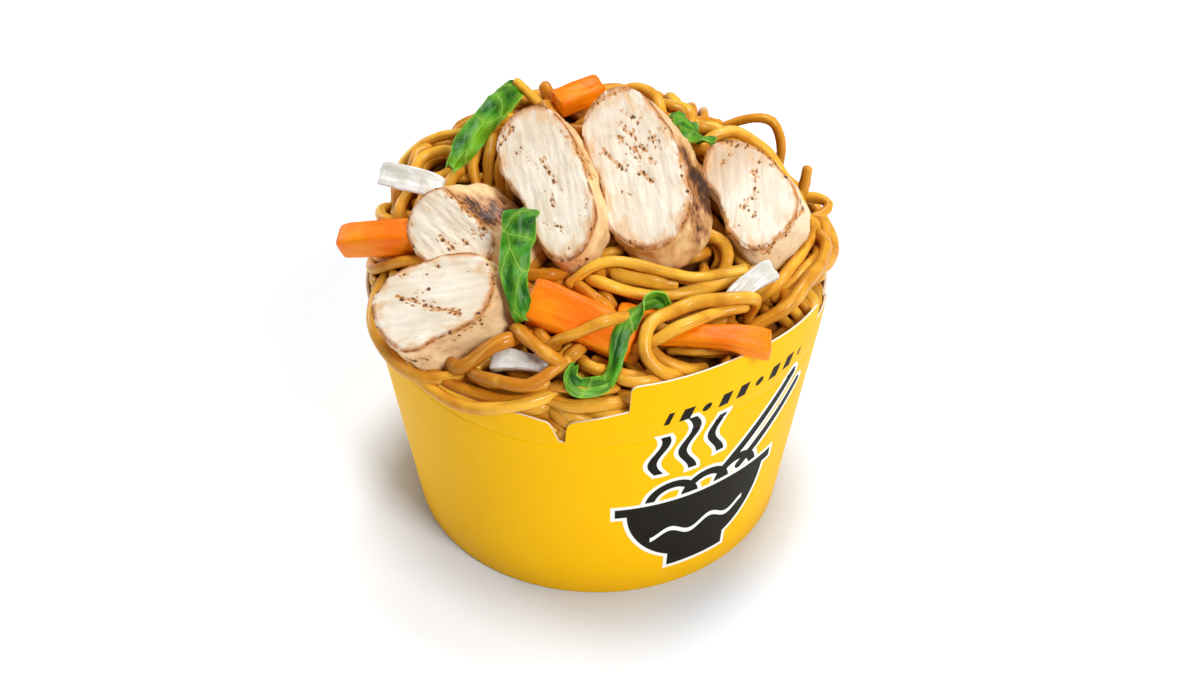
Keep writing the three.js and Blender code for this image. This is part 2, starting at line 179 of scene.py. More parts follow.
class Wire:
    # one socket of a material, so that sums of sockets can be written as sums
    def __init__(self, paint, socket):
        self.paint = paint
        self.socket = socket

    def math(self, operation, *others):
        return self.paint.node("Math", {"operation": operation}, dict(enumerate((self, *others))))

    def __add__(self, other):
        return self.math("ADD", other)

    def __sub__(self, other):
        return self.math("SUBTRACT", other)

    def __rsub__(self, other):
        return self.paint.node("Math", {"operation": "SUBTRACT"}, {0: other, 1: self})

    def __mul__(self, other):
        return self.math("MULTIPLY", other)

    def __truediv__(self, other):
        return self.math("DIVIDE", other)

    def __pow__(self, other):
        return self.math("POWER", other)

    def __abs__(self):
        return self.math("ABSOLUTE")

    __radd__ = __add__
    __rmul__ = __mul__

    def least(self, other):
        return self.math("MINIMUM", other)

    def most(self, other):
        return self.math("MAXIMUM", other)

    def sine(self):
        return self.math("SINE")

    def root(self):
        return self.math("SQRT")

    def rise(self, low, high):
        # 0 below low, 1 above high, smooth between; low may be the larger one
        return self.paint.node("MapRange", {"interpolation_type": "SMOOTHSTEP"},
                               {0: self, 1: low, 2: high})


class Paint:
    # one material and the ways its nodes are added
    def __init__(self, name):
        self.material = bpy.data.materials.new(name)
        self.material.use_nodes = True
        self.tree = self.material.node_tree
        self.tree.nodes.clear()
        self.coords = self.node("TexCoord", output="Object")

    def node(self, kind, settings=None, inputs=None, output=0):
        made = self.tree.nodes.new("ShaderNode" + kind)
        for key, value in (settings or {}).items():
            setattr(made, key, value)
        for key, value in (inputs or {}).items():
            if isinstance(value, Wire):
                self.tree.links.new(value.socket, made.inputs[key])
            elif isinstance(value, tuple) and made.inputs[key].type == "RGBA":
                made.inputs[key].default_value = (*value, 1)
            else:
                made.inputs[key].default_value = value
        return Wire(self, made.outputs[output])

    def blend(self, factor, under, over):
        return self.node("Mix", {"data_type": "RGBA"}, {0: factor, 6: under, 7: over}, output=2)

    def coats(self, colour, *coats):
        # each coat: how much of it shows, and its colour
        for factor, over in coats:
            colour = self.blend(factor, colour, over)
        return colour

    def grain(self, scale, detail=2.0, stretch=(1, 1, 1), coords=None, rough=0.5):
        spot = self.node("VectorMath", {"operation": "MULTIPLY"}, {0: coords or self.coords, 1: stretch})
        return self.node("TexNoise", None, {"Vector": spot, "Scale": scale, "Detail": detail,
                                            "Roughness": rough})

    def cells(self, scale, stretch=(1, 1, 1), coords=None, feature="F1", output="Distance"):
        spot = self.node("VectorMath", {"operation": "MULTIPLY"}, {0: coords or self.coords, 1: stretch})
        return self.node("TexVoronoi", {"feature": feature}, {"Vector": spot, "Scale": scale}, output=output)

    def value(self, name):
        return self.node("Attribute", {"attribute_name": name}, output="Fac")

    def vector(self, name):
        return self.node("Attribute", {"attribute_name": name}, output="Vector")

    def parts(self, vector):
        split = self.node("SeparateXYZ", None, {0: vector})
        outs = split.socket.node.outputs
        return Wire(self, outs[0]), Wire(self, outs[1]), Wire(self, outs[2])

    def bump(self, height, distance, strength=1.0, under=None):
        inputs = {"Height": height, "Distance": distance * mm, "Strength": strength}
        if under is not None:
            inputs["Normal"] = under
        return self.node("Bump", None, inputs)

    def finish(self, colour, roughness, normal=None, soft=None, coat=None, **sockets):
        # soft: how much light goes in, how far by colour, and the scale in mm; coat: weight, roughness
        inputs = {"Base Color": colour, "Roughness": roughness}
        if normal is not None:
            inputs["Normal"] = normal
        if soft is not None:
            weight, radius, scale = soft
            inputs |= {"Subsurface Weight": weight, "Subsurface Radius": radius,
                       "Subsurface Scale": scale * mm}
        if coat is not None:
            inputs |= {"Coat Weight": coat[0], "Coat Roughness": coat[1]}
        for key, value in sockets.items():
            inputs[key.replace("_", " ")] = value
        surface = self.node("BsdfPrincipled", None, inputs)
        out = self.tree.nodes.new("ShaderNodeOutputMaterial")
        self.tree.links.new(surface.socket, out.inputs["Surface"])
        return self.material


def rgb(red, green, blue):
    # a colour as seen on screen, 0 to 255, as the linear one that shaders use
    return tuple(c / 12.92 if c <= 0.04045 else ((c + 0.055) / 1.055) ** 2.4
                 for c in (red / 255, green / 255, blue / 255))


tubSet = {
    "baseRadius": 45.0,
    "scoreRadius": 50.5,
    "scoreHeight": 53.0,
    "card": 0.6,
    "floor": 2.0,
    "round": 0.45,      # of the bottom edge
    "squareness": 2.2,
    "notch": -8.0,      # azimuth of the front notch
    "spacing": 1.5,     # degrees between columns
    "groove": 0.14,     # depth of the score line
    "seam": (186, 196, 0.3),  # glued overlap at the back: from, to, how proud
    # flap edges: degrees past the notch, height above the score, how far the corner is rounded
    "lowFlap": [(0, 0.8, 0), (0.7, 0.8, 0.4), (2.8, 6.2, 1.2), (9, 7.4, 3), (81, 7.4, 3),
                (87.2, 6.2, 1.2), (89.3, 0.8, 0.4)],
    "tallFlap": [(0, 0.8, 0), (0.7, 0.8, 0.3), (1.4, 6.6, 1.8), (15.2, 9.4, 0.3), (15.5, 16.6, 1.8),
                 (38, 16.3, 6), (73.3, 14, 2), (73.6, 8.6, 0.3), (88.6, 6.6, 1.8), (89.3, 0.8, 0.3)],
}


def wallRadius(azimuth, height):
    rise = height / tubSet["scoreHeight"]
    power = 2 + (tubSet["squareness"] - 2) * np.minimum(rise, 1)
    turn = np.radians(azimuth - tubSet["notch"] + 45)
    shape = np.abs(np.cos(turn)) ** power + np.abs(np.sin(turn)) ** power
    flare = (tubSet["scoreRadius"] - tubSet["baseRadius"]) * rise
    return (tubSet["baseRadius"] + flare) / shape ** (1 / power)


def flapOutline(edge):
    corners = [Vector((along, up)) for along, up, _ in edge]
    outline = [corners[0]]
    for i in range(1, len(corners)):
        corner = corners[i]
        following = corners[i + 1] if i + 1 < len(corners) else Vector((90, edge[0][1]))
        before = corner - corners[i - 1]
        after = following - corner
        reach = min(edge[i][2], before.length * 0.45, after.length * 0.45)
        start = corner - before.normalized() * reach
        end = corner + after.normalized() * reach
        for k in range(7):
            t = k / 6
            outline.append(start * (1 - t) ** 2 + corner * 2 * t * (1 - t) + end * t * t)
    outline.append(Vector((90, edge[0][1])))
    filled = []
    for here, there in zip(outline, outline[1:]):
        steps = max(1, math.ceil((there.x - here.x) / tubSet["spacing"]))
        filled += [here.lerp(there, k / steps) for k in range(steps)]
    return filled


def rimColumns():
    edges = [tubSet["tallFlap"], tubSet["lowFlap"], tubSet["tallFlap"], tubSet["lowFlap"]]
    return [(tubSet["notch"] + 90 * quarter + point.x, tubSet["scoreHeight"] + point.y)
            for quarter, edge in enumerate(edges) for point in flapOutline(edge)]


def tubRows():
    # each row: height at a column whose edge is top, and how far inside the outer face
    score, card, groove = tubSet["scoreHeight"], tubSet["card"], tubSet["groove"]
    foot = tubSet["round"]
    rows = [(lambda top: 0, foot), (lambda top: 0.12, 0.14), (lambda top: foot, 0)]
    rows += [(lambda top, part=part: score * part, 0) for part in (0.2, 0.4, 0.6, 0.8, 0.97)]
    rows += [(lambda top: score - 0.75, 0), (lambda top: score - 0.35, groove), (lambda top: score, 0)]
    rows += [(lambda top, part=part: score + (top - score) * part, 0) for part in (0.35, 0.7)]
    rows += [(lambda top: top - 0.09, 0), (lambda top: top, 0.08), (lambda top: top, card - 0.08)]
    rows += [(lambda top: top - 0.09, card), (lambda top: score + (top - score) * 0.5, card)]
    rows += [(lambda top, part=part: score * part, card) for part in (1, 0.75, 0.5, 0.25)]
    rows += [(lambda top: tubSet["floor"], card)]
    return rows


def makeTub():
    columns = rimColumns()
    rows = tubRows()
    count = len(columns)
    tub = newPiece("cardTub", bpy.ops.mesh.primitive_circle_add, vertices=count, radius=1,
                   fill_type="NOTHING")
    bpy.ops.object.mode_set(mode="EDIT")
    bpy.ops.mesh.select_all(action="SELECT")
    for _ in rows[1:]:
        bpy.ops.mesh.extrude_region_move(TRANSFORM_OT_translate={"value": (0, 0, 1)})
    bpy.ops.object.mode_set(mode="OBJECT")
    seamStart, seamEnd, proud = tubSet["seam"]

    def place(spot):
        column = round(math.atan2(spot.x, spot.y) / (2 * math.pi) * count) % count
        azimuth, top = columns[column]
        heightOf, inset = rows[round(spot.z)]
        height = heightOf(top)
        overlap = proud if inset < tubSet["card"] / 2 else 0
        begun = smooth(seamStart, seamStart + 0.4, azimuth)
        ended = smooth(seamEnd - 0.4, seamEnd, azimuth)
        out = overlap * begun * (1 - ended) - inset
        return polar(azimuth, wallRadius(azimuth, height) + out, height)

    moveVertices(tub, place)
    choose(tub)
    # the underside and the floor are closed with one face each
    for height, inset in ((0.0, tubSet["round"]), (tubSet["floor"], tubSet["card"])):
        bpy.ops.object.mode_set(mode="EDIT")
        bpy.ops.mesh.select_all(action="DESELECT")
        bpy.ops.object.mode_set(mode="OBJECT")
        for vertex in tub.data.vertices:
            azimuth = math.degrees(math.atan2(vertex.co.x, -vertex.co.y))
            reach = wallRadius(azimuth, height) - inset
            isAtHeight = abs(vertex.co.z / mm - height) < 0.01
            vertex.select = bool(isAtHeight and math.hypot(vertex.co.x, vertex.co.y) / mm < reach + 0.02)
        bpy.ops.object.mode_set(mode="EDIT")
        bpy.ops.mesh.select_mode(type="VERT")
        bpy.ops.mesh.edge_face_add()
        bpy.ops.object.mode_set(mode="OBJECT")
    finishSurface(tub, 40)
    return tub


def markBareCard(tub):
    # the inner side and the cut edge are bare card, told apart by where the faces lie
    for polygon in tub.data.polygons:
        centre = polygon.center / mm
        azimuth = math.degrees(math.atan2(centre.x, -centre.y))
        inside = math.hypot(centre.x, centre.y) < wallRadius(azimuth, centre.z) - 0.12
        if inside and centre.z > 1:
            polygon.material_index = 1


cardSet = {
    "yellow": rgb(255, 195, 0),
    "deepYellow": rgb(253, 189, 0),
    "black": rgb(26, 24, 22),
    "white": rgb(252, 250, 244),
    "bare": rgb(250, 245, 232),
    "outline": 0.75,        # width of the white line round the black print
    "printAzimuth": 29.0,   # middle of the large print
    "printHeight": 28.0,
    "printScale": 1.3,
    "rowAzimuth": 37.0,     # middle of the row of marks on the tall flap
    "rowHeight": 58.2,
}


def printShapes(across, up):
    # signed distances in mm, less than 0 inside: a bowl with chopsticks, noodles and steam
    def disc(x, y, radius):
        return ((across - x) ** 2 + (up - y) ** 2).root() - radius

    def bar(x1, y1, x2, y2, half):
        dx, dy = x2 - x1, y2 - y1
        along = ((across - x1) * (dx / (dx * dx + dy * dy)) + (up - y1) * (dy / (dx * dx + dy * dy)))
        part = along.most(0).least(1)
        return ((across - x1 - part * dx) ** 2 + (up - y1 - part * dy) ** 2).root() - half

    def steam(x, low, high, half):
        wave = (up * 0.62 + x).sine() * 1.1
        return (abs(across - x - wave) - half).most(abs(up - (low + high) / 2) - (high - low) / 2)

    bowl = disc(0, 0.5, 14.5).most(up - 0.5).most(-14.0 + up * -1 + 1.2)
    foot = (abs(across) - 6.2).most(abs(up + 14.2) - 1.6)
    rim = (abs(across) - 16.6).most(abs(up - 1.1) - 1.1)
    loops = abs(disc(-6.4, 2.2, 4.2)) - 0.85
    loops = loops.least(abs(disc(0.2, 2.2, 4.2)) - 0.85).least(abs(disc(6.8, 2.2, 4.2)) - 0.85)
    loops = loops.most(3.0 - up)
    sticks = bar(3.5, 5.0, 18.5, 19.0, 0.95).least(bar(7.5, 4.2, 21.0, 15.2, 0.95))
    cloud = steam(-9.5, 10, 19, 0.8).least(steam(-4.3, 9.5, 22, 0.8)).least(steam(1.0, 11, 20, 0.8))
    return bowl.least(foot).least(rim).least(loops).least(sticks).least(cloud)


def cardMaterial():
    paint = Paint("printedCard")
    x, y, z = paint.parts(paint.coords)
    azimuth = x.math("ARCTAN2", y * -1)
    height = z / mm
    radius = 50.0
    across = (azimuth - math.radians(cardSet["printAzimuth"])) * (radius / cardSet["printScale"])
    up = (height - cardSet["printHeight"]) / cardSet["printScale"]
    shape = printShapes(across, up)
    wave = abs(up + 6.5 - (across * 0.75).sine() * 1.0) - 0.55
    wave = wave.most(abs(across) - 10.0)
    shape = shape.most(wave * -1)

    along = (azimuth - math.radians(cardSet["rowAzimuth"])) * radius
    lift = height - cardSet["rowHeight"]
    slanted = along - lift * 0.35
    pitch = 4.6
    local = (slanted / pitch + 100.5).math("FRACT") * pitch - pitch / 2
    number = (slanted / pitch + 100.5).math("FLOOR").math("MODULO", 3.0)
    dot = (local ** 2 + lift ** 2).root() - 1.05
    dash = (abs(local) - 1.25).most(abs(lift) - 1.65)
    isDot = (number - 1.5).rise(0.4, 0.45)
    mark = dot * isDot + dash * (1 - isDot)
    mark = mark.most(abs(slanted) - 4 * pitch)

    black = shape.rise(0.05, -0.05)
    halo = shape.rise(cardSet["outline"] + 0.05, cardSet["outline"] - 0.05)
    row = mark.rise(0.05, -0.05)
    onWall = height.rise(1.0, 1.2)
    mottle = paint.grain(90, 3)
    colour = paint.coats(
        cardSet["yellow"],
        (mottle, cardSet["deepYellow"]),
        (halo * onWall, cardSet["white"]),
        (black.most(row) * onWall, cardSet["black"]),
    )
    fibre = paint.grain(900, 2, (1, 1, 0.6))
    dents = paint.grain(45, 1)
    normal = paint.bump(fibre, 0.02, 0.25, paint.bump(dents, 0.25, 0.25))
    return paint.finish(colour, 0.44 + mottle * 0.1, normal, Specular_IOR_Level=0.08,
                        Specular_Tint=(1.0, 0.8, 0.2))


def bareCardMaterial():
    paint = Paint("bareCard")
    fibre = paint.grain(1500, 3)
    colour = paint.blend(fibre, cardSet["bare"], rgb(238, 230, 212))
    return paint.finish(colour, 0.7 + fibre * 0.1, paint.bump(fibre, 0.03, 0.4))


tub = makeTub()
settle(tub, cardMaterial(), "card", "tub")
tub.data.materials.append(bareCardMaterial())
markBareCard(tub)
print("tub made")


chickenSet = {
    "segments": 150,
    "rings": 100,
    "faceShare": 0.46,   # share of the rings on the cut face
    "flankShare": 0.72,  # share of the others on the flank, the rest close the back
    "cutEdge": 0.7,      # how far the cut edge is rounded
    "ragged": 0.35,
    "fibre": 0.22,       # height of the fibres on the cut face
    "broad": 0.35,       # height of its broad waves
    "lumps": 0.5,        # height of the lumps on the browned side
    "shrink": 0.22,      # how much smaller the back is than the cut face
    "charSpread": 62,    # degrees round the slice
    "markWidth": 0.75,
    # reach: the cut face's outline every 30 degrees, from the slice's long way towards its wide way
    # lean: the way the browned side swells out, and how far; grill: where it is charred, and how much
    # pale: how light the flank is; faceShade: the side of the cut face that is painted darker as shade, and
    # how much
    # marks: cracks and grilled spots, how dark each is and where it runs
    "slices": {
        "chicken_1": {
            "at": (-34.6, -31.8, 75.2), "face": (-22, 52), "roll": 66,
            "middle": (0.4, 0.6), "thickness": 11,
            "reach": (13.7, 14.0, 11.0, 8.9, 9.3, 11.8, 13.5, 12.9, 12.3, 8.9, 9.2, 11.4),
            "lean": (315, 4.5), "grill": (250, 0.4), "pale": 0.4, "faceShade": (100, 0.35),
            "marks": [(0.9, (-7.5, 2), (-3, 0), (0, -2), (5.5, -4)), (0.5, (-1.5, 6.5), (2.5, 4.5)),
                      (0.5, (-4, 1.5), (-0.5, 2)), (0.35, (-3.5, -6.5), (1.5, -7.5)),
                      (0.6, (13, 5.5), (14, 3)), (0.5, (12.5, -3), (11, -4.5), (8, -7), (3.5, -8.5)),
                      (1, (-13, -3.5), (-9.5, -10), (-6, -12), (1, -14)), (0.7, (1.5, 7), (2, 6.5)),
                      (0.6, (-5.5, 6.5), (-4.5, 6.5))],
        },
        "chicken_2": {
            "at": (-27.2, -14.2, 83.2), "face": (-34, 46), "roll": -72,
            "middle": (2.2, 4.4), "thickness": 13,
            "reach": (11.4, 11.2, 9.6, 8.6, 8.4, 9.4, 12.3, 10.9, 6.9, 6.1, 7.7, 11.0),
            "lean": (232, 8.5), "grill": (255, 1.0), "pale": 0.3, "faceShade": (180, 0.2),
            "marks": [(0.9, (1, 2), (-1.5, 2), (-3.5, 2)), (0.6, (-4, 0), (-6, -2), (-7.5, -5.5)),
                      (0.7, (11.5, 1), (10.5, 3.5), (9.5, 5.5)),
                      (0.7, (8.5, -6), (3.5, -6), (-1.5, -6), (-8, -5.5)), (0.4, (-3, -2.5), (-6.5, -4)),
                      (0.4, (-1, 4), (-2.5, 4))],
        },
        "chicken_3": {
            "at": (-10.1, -12.2, 89.4), "face": (-28, 50), "roll": -33,
            "middle": (3.2, -0.4), "thickness": 12,
            "reach": (17.6, 16.4, 11.8, 8.3, 7.7, 11.2, 19.6, 16.3, 10.2, 8.8, 9.1, 12.4),
            "lean": (215, 1.0), "grill": (300, 0.45), "pale": 0.3, "faceShade": (35, 0.4),
            "marks": [(0.4, (8, 5.5), (5.5, 3.5), (2.5, 1.5)), (0.6, (4, 0.5), (0, -1), (-4, -2.5)),
                      (0.3, (-3.5, 0.5), (-6.5, -0.5)), (0.9, (16.5, 6.5), (13, 6), (10.5, 9)),
                      (0.8, (18, 4), (16.5, 4)),
                      (0.7, (8.5, -5.5), (4.5, -7.5), (0.5, -8.5), (-2.5, -9)),
                      (0.5, (-17.5, 0.5), (-17.5, -2)), (0.6, (-20, -2.5), (-19.5, -5)),
                      (0.5, (-9.5, 3), (-11.5, -0.5), (-13.5, -2)), (0.4, (-10.5, -6), (-6, -8))],
        },
        "chicken_4": {
            "at": (10.6, -8.8, 92.2), "face": (-17, 50), "roll": -23,
            "middle": (1.0, 1.6), "thickness": 12.5,
            "reach": (19.5, 17.6, 12.0, 8.8, 10.0, 15.4, 18.4, 16.2, 12.0, 10.3, 10.6, 13.6),
            "lean": (222, 4.5), "grill": (250, 0.95), "pale": 0.15, "faceShade": (60, 0.4),
            "marks": [(0.8, (6, 6.5), (3.5, 5), (0.5, 3)), (0.8, (10.5, 2), (9, 1)),
                      (0.8, (8.5, 0), (6, -1)), (0.9, (8, 2.5), (6.5, 2)),
                      (0.9, (4.5, -1.5), (3.5, -2.5)), (0.8, (5, 0), (2.5, -1)),
                      (0.6, (4, 1.5), (3, 0.5)), (0.8, (7, -4), (5, -5), (3, -5.5)),
                      (0.7, (13, 0.5), (10.5, -2)), (0.5, (8, -6), (7, -7)),
                      (0.8, (1.5, -3), (0.5, -3.5)), (1, (-1, -0.5), (-3.5, -2.5)),
                      (0.7, (2.5, 2.5), (1.5, 2)), (0.4, (-4.5, 3.5), (-5.5, 2.5)),
                      (0.6, (1, -9), (-8.5, -9.5), (-12, -8)),
                      (0.9, (15, 9.5), (16, 7.5), (17.5, 4), (18.5, -0.5), (18.5, -3.5)),
                      (0.6, (-15, 7), (-16.5, 6))],
        },
        "chicken_5": {
            "at": (35.6, -7.8, 86.2), "face": (8, 50), "roll": 4,
            "middle": (-0.2, 2.1), "thickness": 11.5,
            "reach": (11.2, 13.4, 12.2, 8.0, 8.0, 10.5, 13.0, 11.3, 11.2, 10.1, 8.9, 9.4),
            "lean": (235, 4.5), "grill": (320, 0.6), "pale": 0.85, "faceShade": (35, 1.0),
            "marks": [(0.9, (11.5, 6.5), (10.5, 2), (10.5, -0.5), (8.5, -4), (6.5, -5.5)),
                      (0.7, (7.5, -2.5), (6.5, -2)), (0.8, (5, -1), (3, -1)), (0.7, (0, -1), (-1, 0)),
                      (0.8, (-1.5, 1), (-3.5, 2)), (0.5, (-4, 1), (-5, 0)), (0.8, (6.5, 6), (6.5, 5.5)),
                      (0.6, (9.5, 4.5), (9, 4)), (0.9, (5.5, -7), (3.5, -8.5), (0, -10), (-3.5, -11.5)),
                      (1, (-3.5, -11.5), (-5.5, -9.5), (-8, -7.5), (-12, -3.5), (-13, -2)),
                      (0.8, (-6, 5.5), (-8.5, 5.5)), (0.9, (-7.5, 4), (-7.5, 3.5)),
                      (0.5, (-10, -11.5), (-10.5, -13))],
        },
    },
}


def faceFrame(face, roll):
    azimuth, elevation = (math.radians(a) for a in face)
    out = Vector((math.cos(elevation) * math.sin(azimuth), -math.cos(elevation) * math.cos(azimuth),
                  math.sin(elevation)))
    up = Vector((-math.sin(elevation) * math.sin(azimuth), math.sin(elevation) * math.cos(azimuth),
                 math.cos(elevation)))
    along = Matrix.Rotation(-math.radians(roll), 3, out) @ up
    return out, along, out.cross(along)


def nearMarks(places, marks):
    # 1 on the line of a mark, less the further a place is from it
    found = np.zeros(len(places))
    for strength, *corners in marks:
        for start, end in zip(corners, corners[1:]):
            a, b = np.array(start), np.array(end)
            part = np.clip(((places - a) @ (b - a)) / max((b - a) @ (b - a), 1e-6), 0, 1)
            away = np.linalg.norm(places - a - part[:, None] * (b - a), axis=1)
            found = np.maximum(found, strength * np.exp(-(away / chickenSet["markWidth"]) ** 2))
    return found


def makeSlice(name, cut, seed):
    out, along, across = faceFrame(cut["face"], cut["roll"])
    centre = Vector(cut["at"]) + along * cut["middle"][0] + across * cut["middle"][1]
    leanTurn = math.radians(cut["lean"][0])
    lean = Vector((math.cos(leanTurn), math.sin(leanTurn))) * cut["lean"][1]
    grillTurn, grill = cut["grill"]
    share, flank = chickenSet["faceShare"], chickenSet["flankShare"]
    edge = chickenSet["cutEdge"]
    drift = Vector((seed * 7.3, seed * 3.1, seed * 5.7))
    records = []

    def place(spot):
        part = math.acos(max(-1, min(1, spot.z))) / math.pi
        degrees = math.degrees(math.atan2(spot.y, spot.x))
        way = Vector((math.cos(math.radians(degrees)), math.sin(math.radians(degrees))))
        ragged = noise.noise(Vector((way.x * 3, way.y * 3, seed))) * chickenSet["ragged"]
        reach = reachAround(cut["reach"], degrees) + ragged
        # band: 0 in the middle of the cut face, 1 at its edge, 2 at the back
        if part < share:
            band = math.sin(part / share * math.pi / 2) ** 1.15
            flat = way * (band * (reach - 0.25))
            depth = edge * smooth(1 - 1.6 * edge / reach, 1, band) * 0.45
        else:
            past = (part - share) / (1 - share)
            side = min(past / flank, 1)
            band = 1 + side
            depth = edge * 0.45 + side * (cut["thickness"] - edge * 0.45)
            swell = math.sin(math.pi * min(side * 0.62, 0.5))
            shrink = 1 - chickenSet["shrink"] * smooth(0.45, 1, side)
            closing = math.cos(max(0, past - flank) / (1 - flank) * math.pi / 2)
            bulge = 0.9 * math.sin(math.pi * min(side * 1.6, 1) * 0.5)
            flat = way * ((reach - 0.25 + bulge) * shrink * closing)
            flat = flat + lean * swell * (0.35 + 0.65 * smooth(0, 0.6, side)) * closing ** 0.5
            depth += (1 - closing) * 0.8
        moved = Vector((flat.x, flat.y, -depth))
        fibres = noise.fractal(Vector((flat.x * 0.16, flat.y * 0.75, depth * 0.3)) + drift, 1.0, 2.0, 4)
        broad = noise.noise(Vector((flat.x * 0.12, flat.y * 0.12, depth * 0.12)) + drift)
        lumps = noise.fractal(Vector((flat.x * 0.3, flat.y * 0.3, depth * 0.3)) - drift, 1.0, 2.0, 3)
        if band <= 1:
            relief = chickenSet["fibre"] * fibres + chickenSet["broad"] * broad
            moved.z += relief * (1 - smooth(0.86, 1.0, band) * 0.5)
        else:
            relief = chickenSet["lumps"] * lumps * smooth(1.0, 1.15, band)
            moved.x += way.x * relief
            moved.y += way.y * relief
        turned = (degrees - grillTurn + 180) % 360 - 180
        char = grill * math.exp(-(turned / chickenSet["charSpread"]) ** 2)
        char *= smooth(0.95, 1.06, band) * (1 - smooth(1.45, 1.9, band))
        records.append((moved.x, moved.y, depth, band, char))
        return centre + along * moved.x + across * moved.y + out * moved.z

    piece = newPiece(name, bpy.ops.mesh.primitive_uv_sphere_add, segments=chickenSet["segments"],
                     ring_count=chickenSet["rings"], radius=1)
    moveVertices(piece, place)
    table = np.array(records)
    band = table[:, 3]
    paintPoints(piece, "slicePlace", table[:, :3], "FLOAT_VECTOR")
    paintPoints(piece, "edge", band)
    paintPoints(piece, "char", table[:, 4])
    paintPoints(piece, "pale", np.full(len(table), cut["pale"]))
    paintPoints(piece, "mark", nearMarks(table[:, :2], cut["marks"]) * (band < 1.3))
    # painted shade: the cut face darkens towards one side
    shadeTurn = math.radians(cut["faceShade"][0])
    towards = (table[:, 0] * math.cos(shadeTurn) + table[:, 1] * math.sin(shadeTurn)) / 14
    paintPoints(piece, "faceShade", cut["faceShade"][1] * smooth(-0.35, 1.0, towards))
    finishSurface(piece)
    return piece


def chickenMaterial():
    paint = Paint("grilledChicken")
    place = paint.vector("slicePlace")
    edge = paint.value("edge")
    char = paint.value("char")
    mark = paint.value("mark")
    faceShade = paint.value("faceShade")
    fibres = paint.grain(1.3, 6, (0.35, 1.5, 0.7), place, 0.68)
    streaks = paint.grain(0.5, 3, (0.2, 1.2, 0.5), place, 0.5)
    mottle = paint.grain(0.14, 2, coords=place)
    patches = paint.grain(0.3, 4, (0.7, 1.2, 1), place)
    fine = paint.grain(3.0, 3, (0.6, 1.3, 1), place, 0.6)
    spotty = paint.grain(0.9, 3, (0.8, 1, 1), place, 0.7)
    jitter = paint.node("TexNoise", None, {"Vector": place, "Scale": 1.6, "Detail": 3.0}, output="Color")
    speckPlace = paint.node("VectorMath", {"operation": "ADD"}, {0: place, 1: jitter})
    tan = (patches + edge.rise(0.45, 1.0) * 0.22).rise(0.6, 0.85)
    inner = paint.coats(
        rgb(251, 239, 220),
        (mottle.rise(0.35, 0.65), rgb(240, 224, 200)),
        (streaks.rise(0.56, 0.75) * 0.4, rgb(228, 206, 172)),
        (fibres.rise(0.58, 0.72) * 0.35, rgb(206, 176, 138)),
        (fibres.rise(0.44, 0.3) * 0.45, rgb(255, 248, 236)),
        # painted shade: browner towards one side of the cut face, broken up by random patches
        ((faceShade + (patches - 0.5) * 0.4).rise(0.1, 0.9) * 0.7, rgb(206, 166, 124)),
        (tan * edge.rise(0.3, 0.9) * 0.75, rgb(230, 184, 126)),
    )
    side = paint.coats(
        rgb(250, 208, 138),
        (patches.rise(0.35, 0.65), rgb(230, 170, 94)),
        (streaks.rise(0.5, 0.75) * 0.45, rgb(204, 134, 58)),
        (fine.rise(0.5, 0.75) * 0.3, rgb(255, 234, 186)),
        (paint.value("pale"), rgb(250, 228, 190)),
    )
    rim = edge.rise(0.9, 0.98) * edge.rise(1.07, 1.0)
    crust = edge.rise(0.965, 0.99) * edge.rise(1.03, 1.0) * (spotty + patches * 0.4).rise(0.66, 0.78)
    scorch = (char + (fibres - 0.5) * 0.7 + (patches - 0.5) * 0.9).rise(0.35, 0.9)
    coal = (char + (fibres - 0.5) * 1.1 + (patches - 0.5) * 1.3).rise(0.74, 1.0)
    halo = (mark + (spotty - 0.5) * 2.6).rise(0.5, 1.1)
    burnt = (mark + (spotty - 0.5) * 3.2).rise(1.05, 1.25)
    # specks: a dot in some of the cells, more of them near the marks and the rim
    specks = paint.cells(1.05, (0.75, 1.3, 0.8), speckPlace)
    chance = paint.cells(1.05, (0.75, 1.3, 0.8), speckPlace, output="Color")
    pick, size, _ = paint.parts(chance)
    near = (mark * 1.15).most(rim * 0.5 * patches.rise(0.42, 0.58)) + patches.rise(0.55, 0.7) * 0.06
    wanted = (near - pick).rise(0.0, 0.06)
    size = 0.16 + size * 0.3
    ring = (size * 1.9 - specks).rise(0.0, 0.16) * wanted
    dot = (size - specks).rise(0.0, 0.07) * wanted
    colour = paint.coats(
        inner,
        ((edge + (patches - 0.5) * 0.1).rise(0.97, 1.01), side),
        (rim * (patches + fine * 0.3).rise(0.45, 0.7) * 0.9, rgb(192, 114, 32)),
        (crust * 0.85, rgb(98, 50, 12)),
        (scorch * char.rise(0.05, 0.3) * 0.9, rgb(158, 84, 18)),
        (coal * char.rise(0.2, 0.5), rgb(64, 32, 14)),
        (halo * mark.rise(0.03, 0.3) * 0.85, rgb(216, 142, 44)),
        (burnt * mark.rise(0.3, 0.6) * 0.9, rgb(112, 58, 12)),
        (ring * 0.65, rgb(212, 134, 36)),
        (dot * 0.95, rgb(74, 36, 8)),
    )
    relief = fibres + fine * 0.35 - mark * 0.8 - dot * 0.4
    normal = paint.bump(relief, 0.3, 0.6, paint.bump(streaks, 0.4, 0.4))
    roughness = 0.48 - edge.rise(0.95, 1.1) * 0.12 + fibres * 0.12
    return paint.finish(colour, roughness, normal, (0.12, (1.0, 0.6, 0.4), 1.0), (0.12, 0.3))


chicken = chickenMaterial()
toppings = []
for seed, (node, cut) in enumerate(chickenSet["slices"].items(), 1):
    piece = makeSlice(node.replace("_", "Slice"), cut, seed)
    settle(piece, chicken, "chicken", node)
    toppings.append(piece)
print("chicken made")


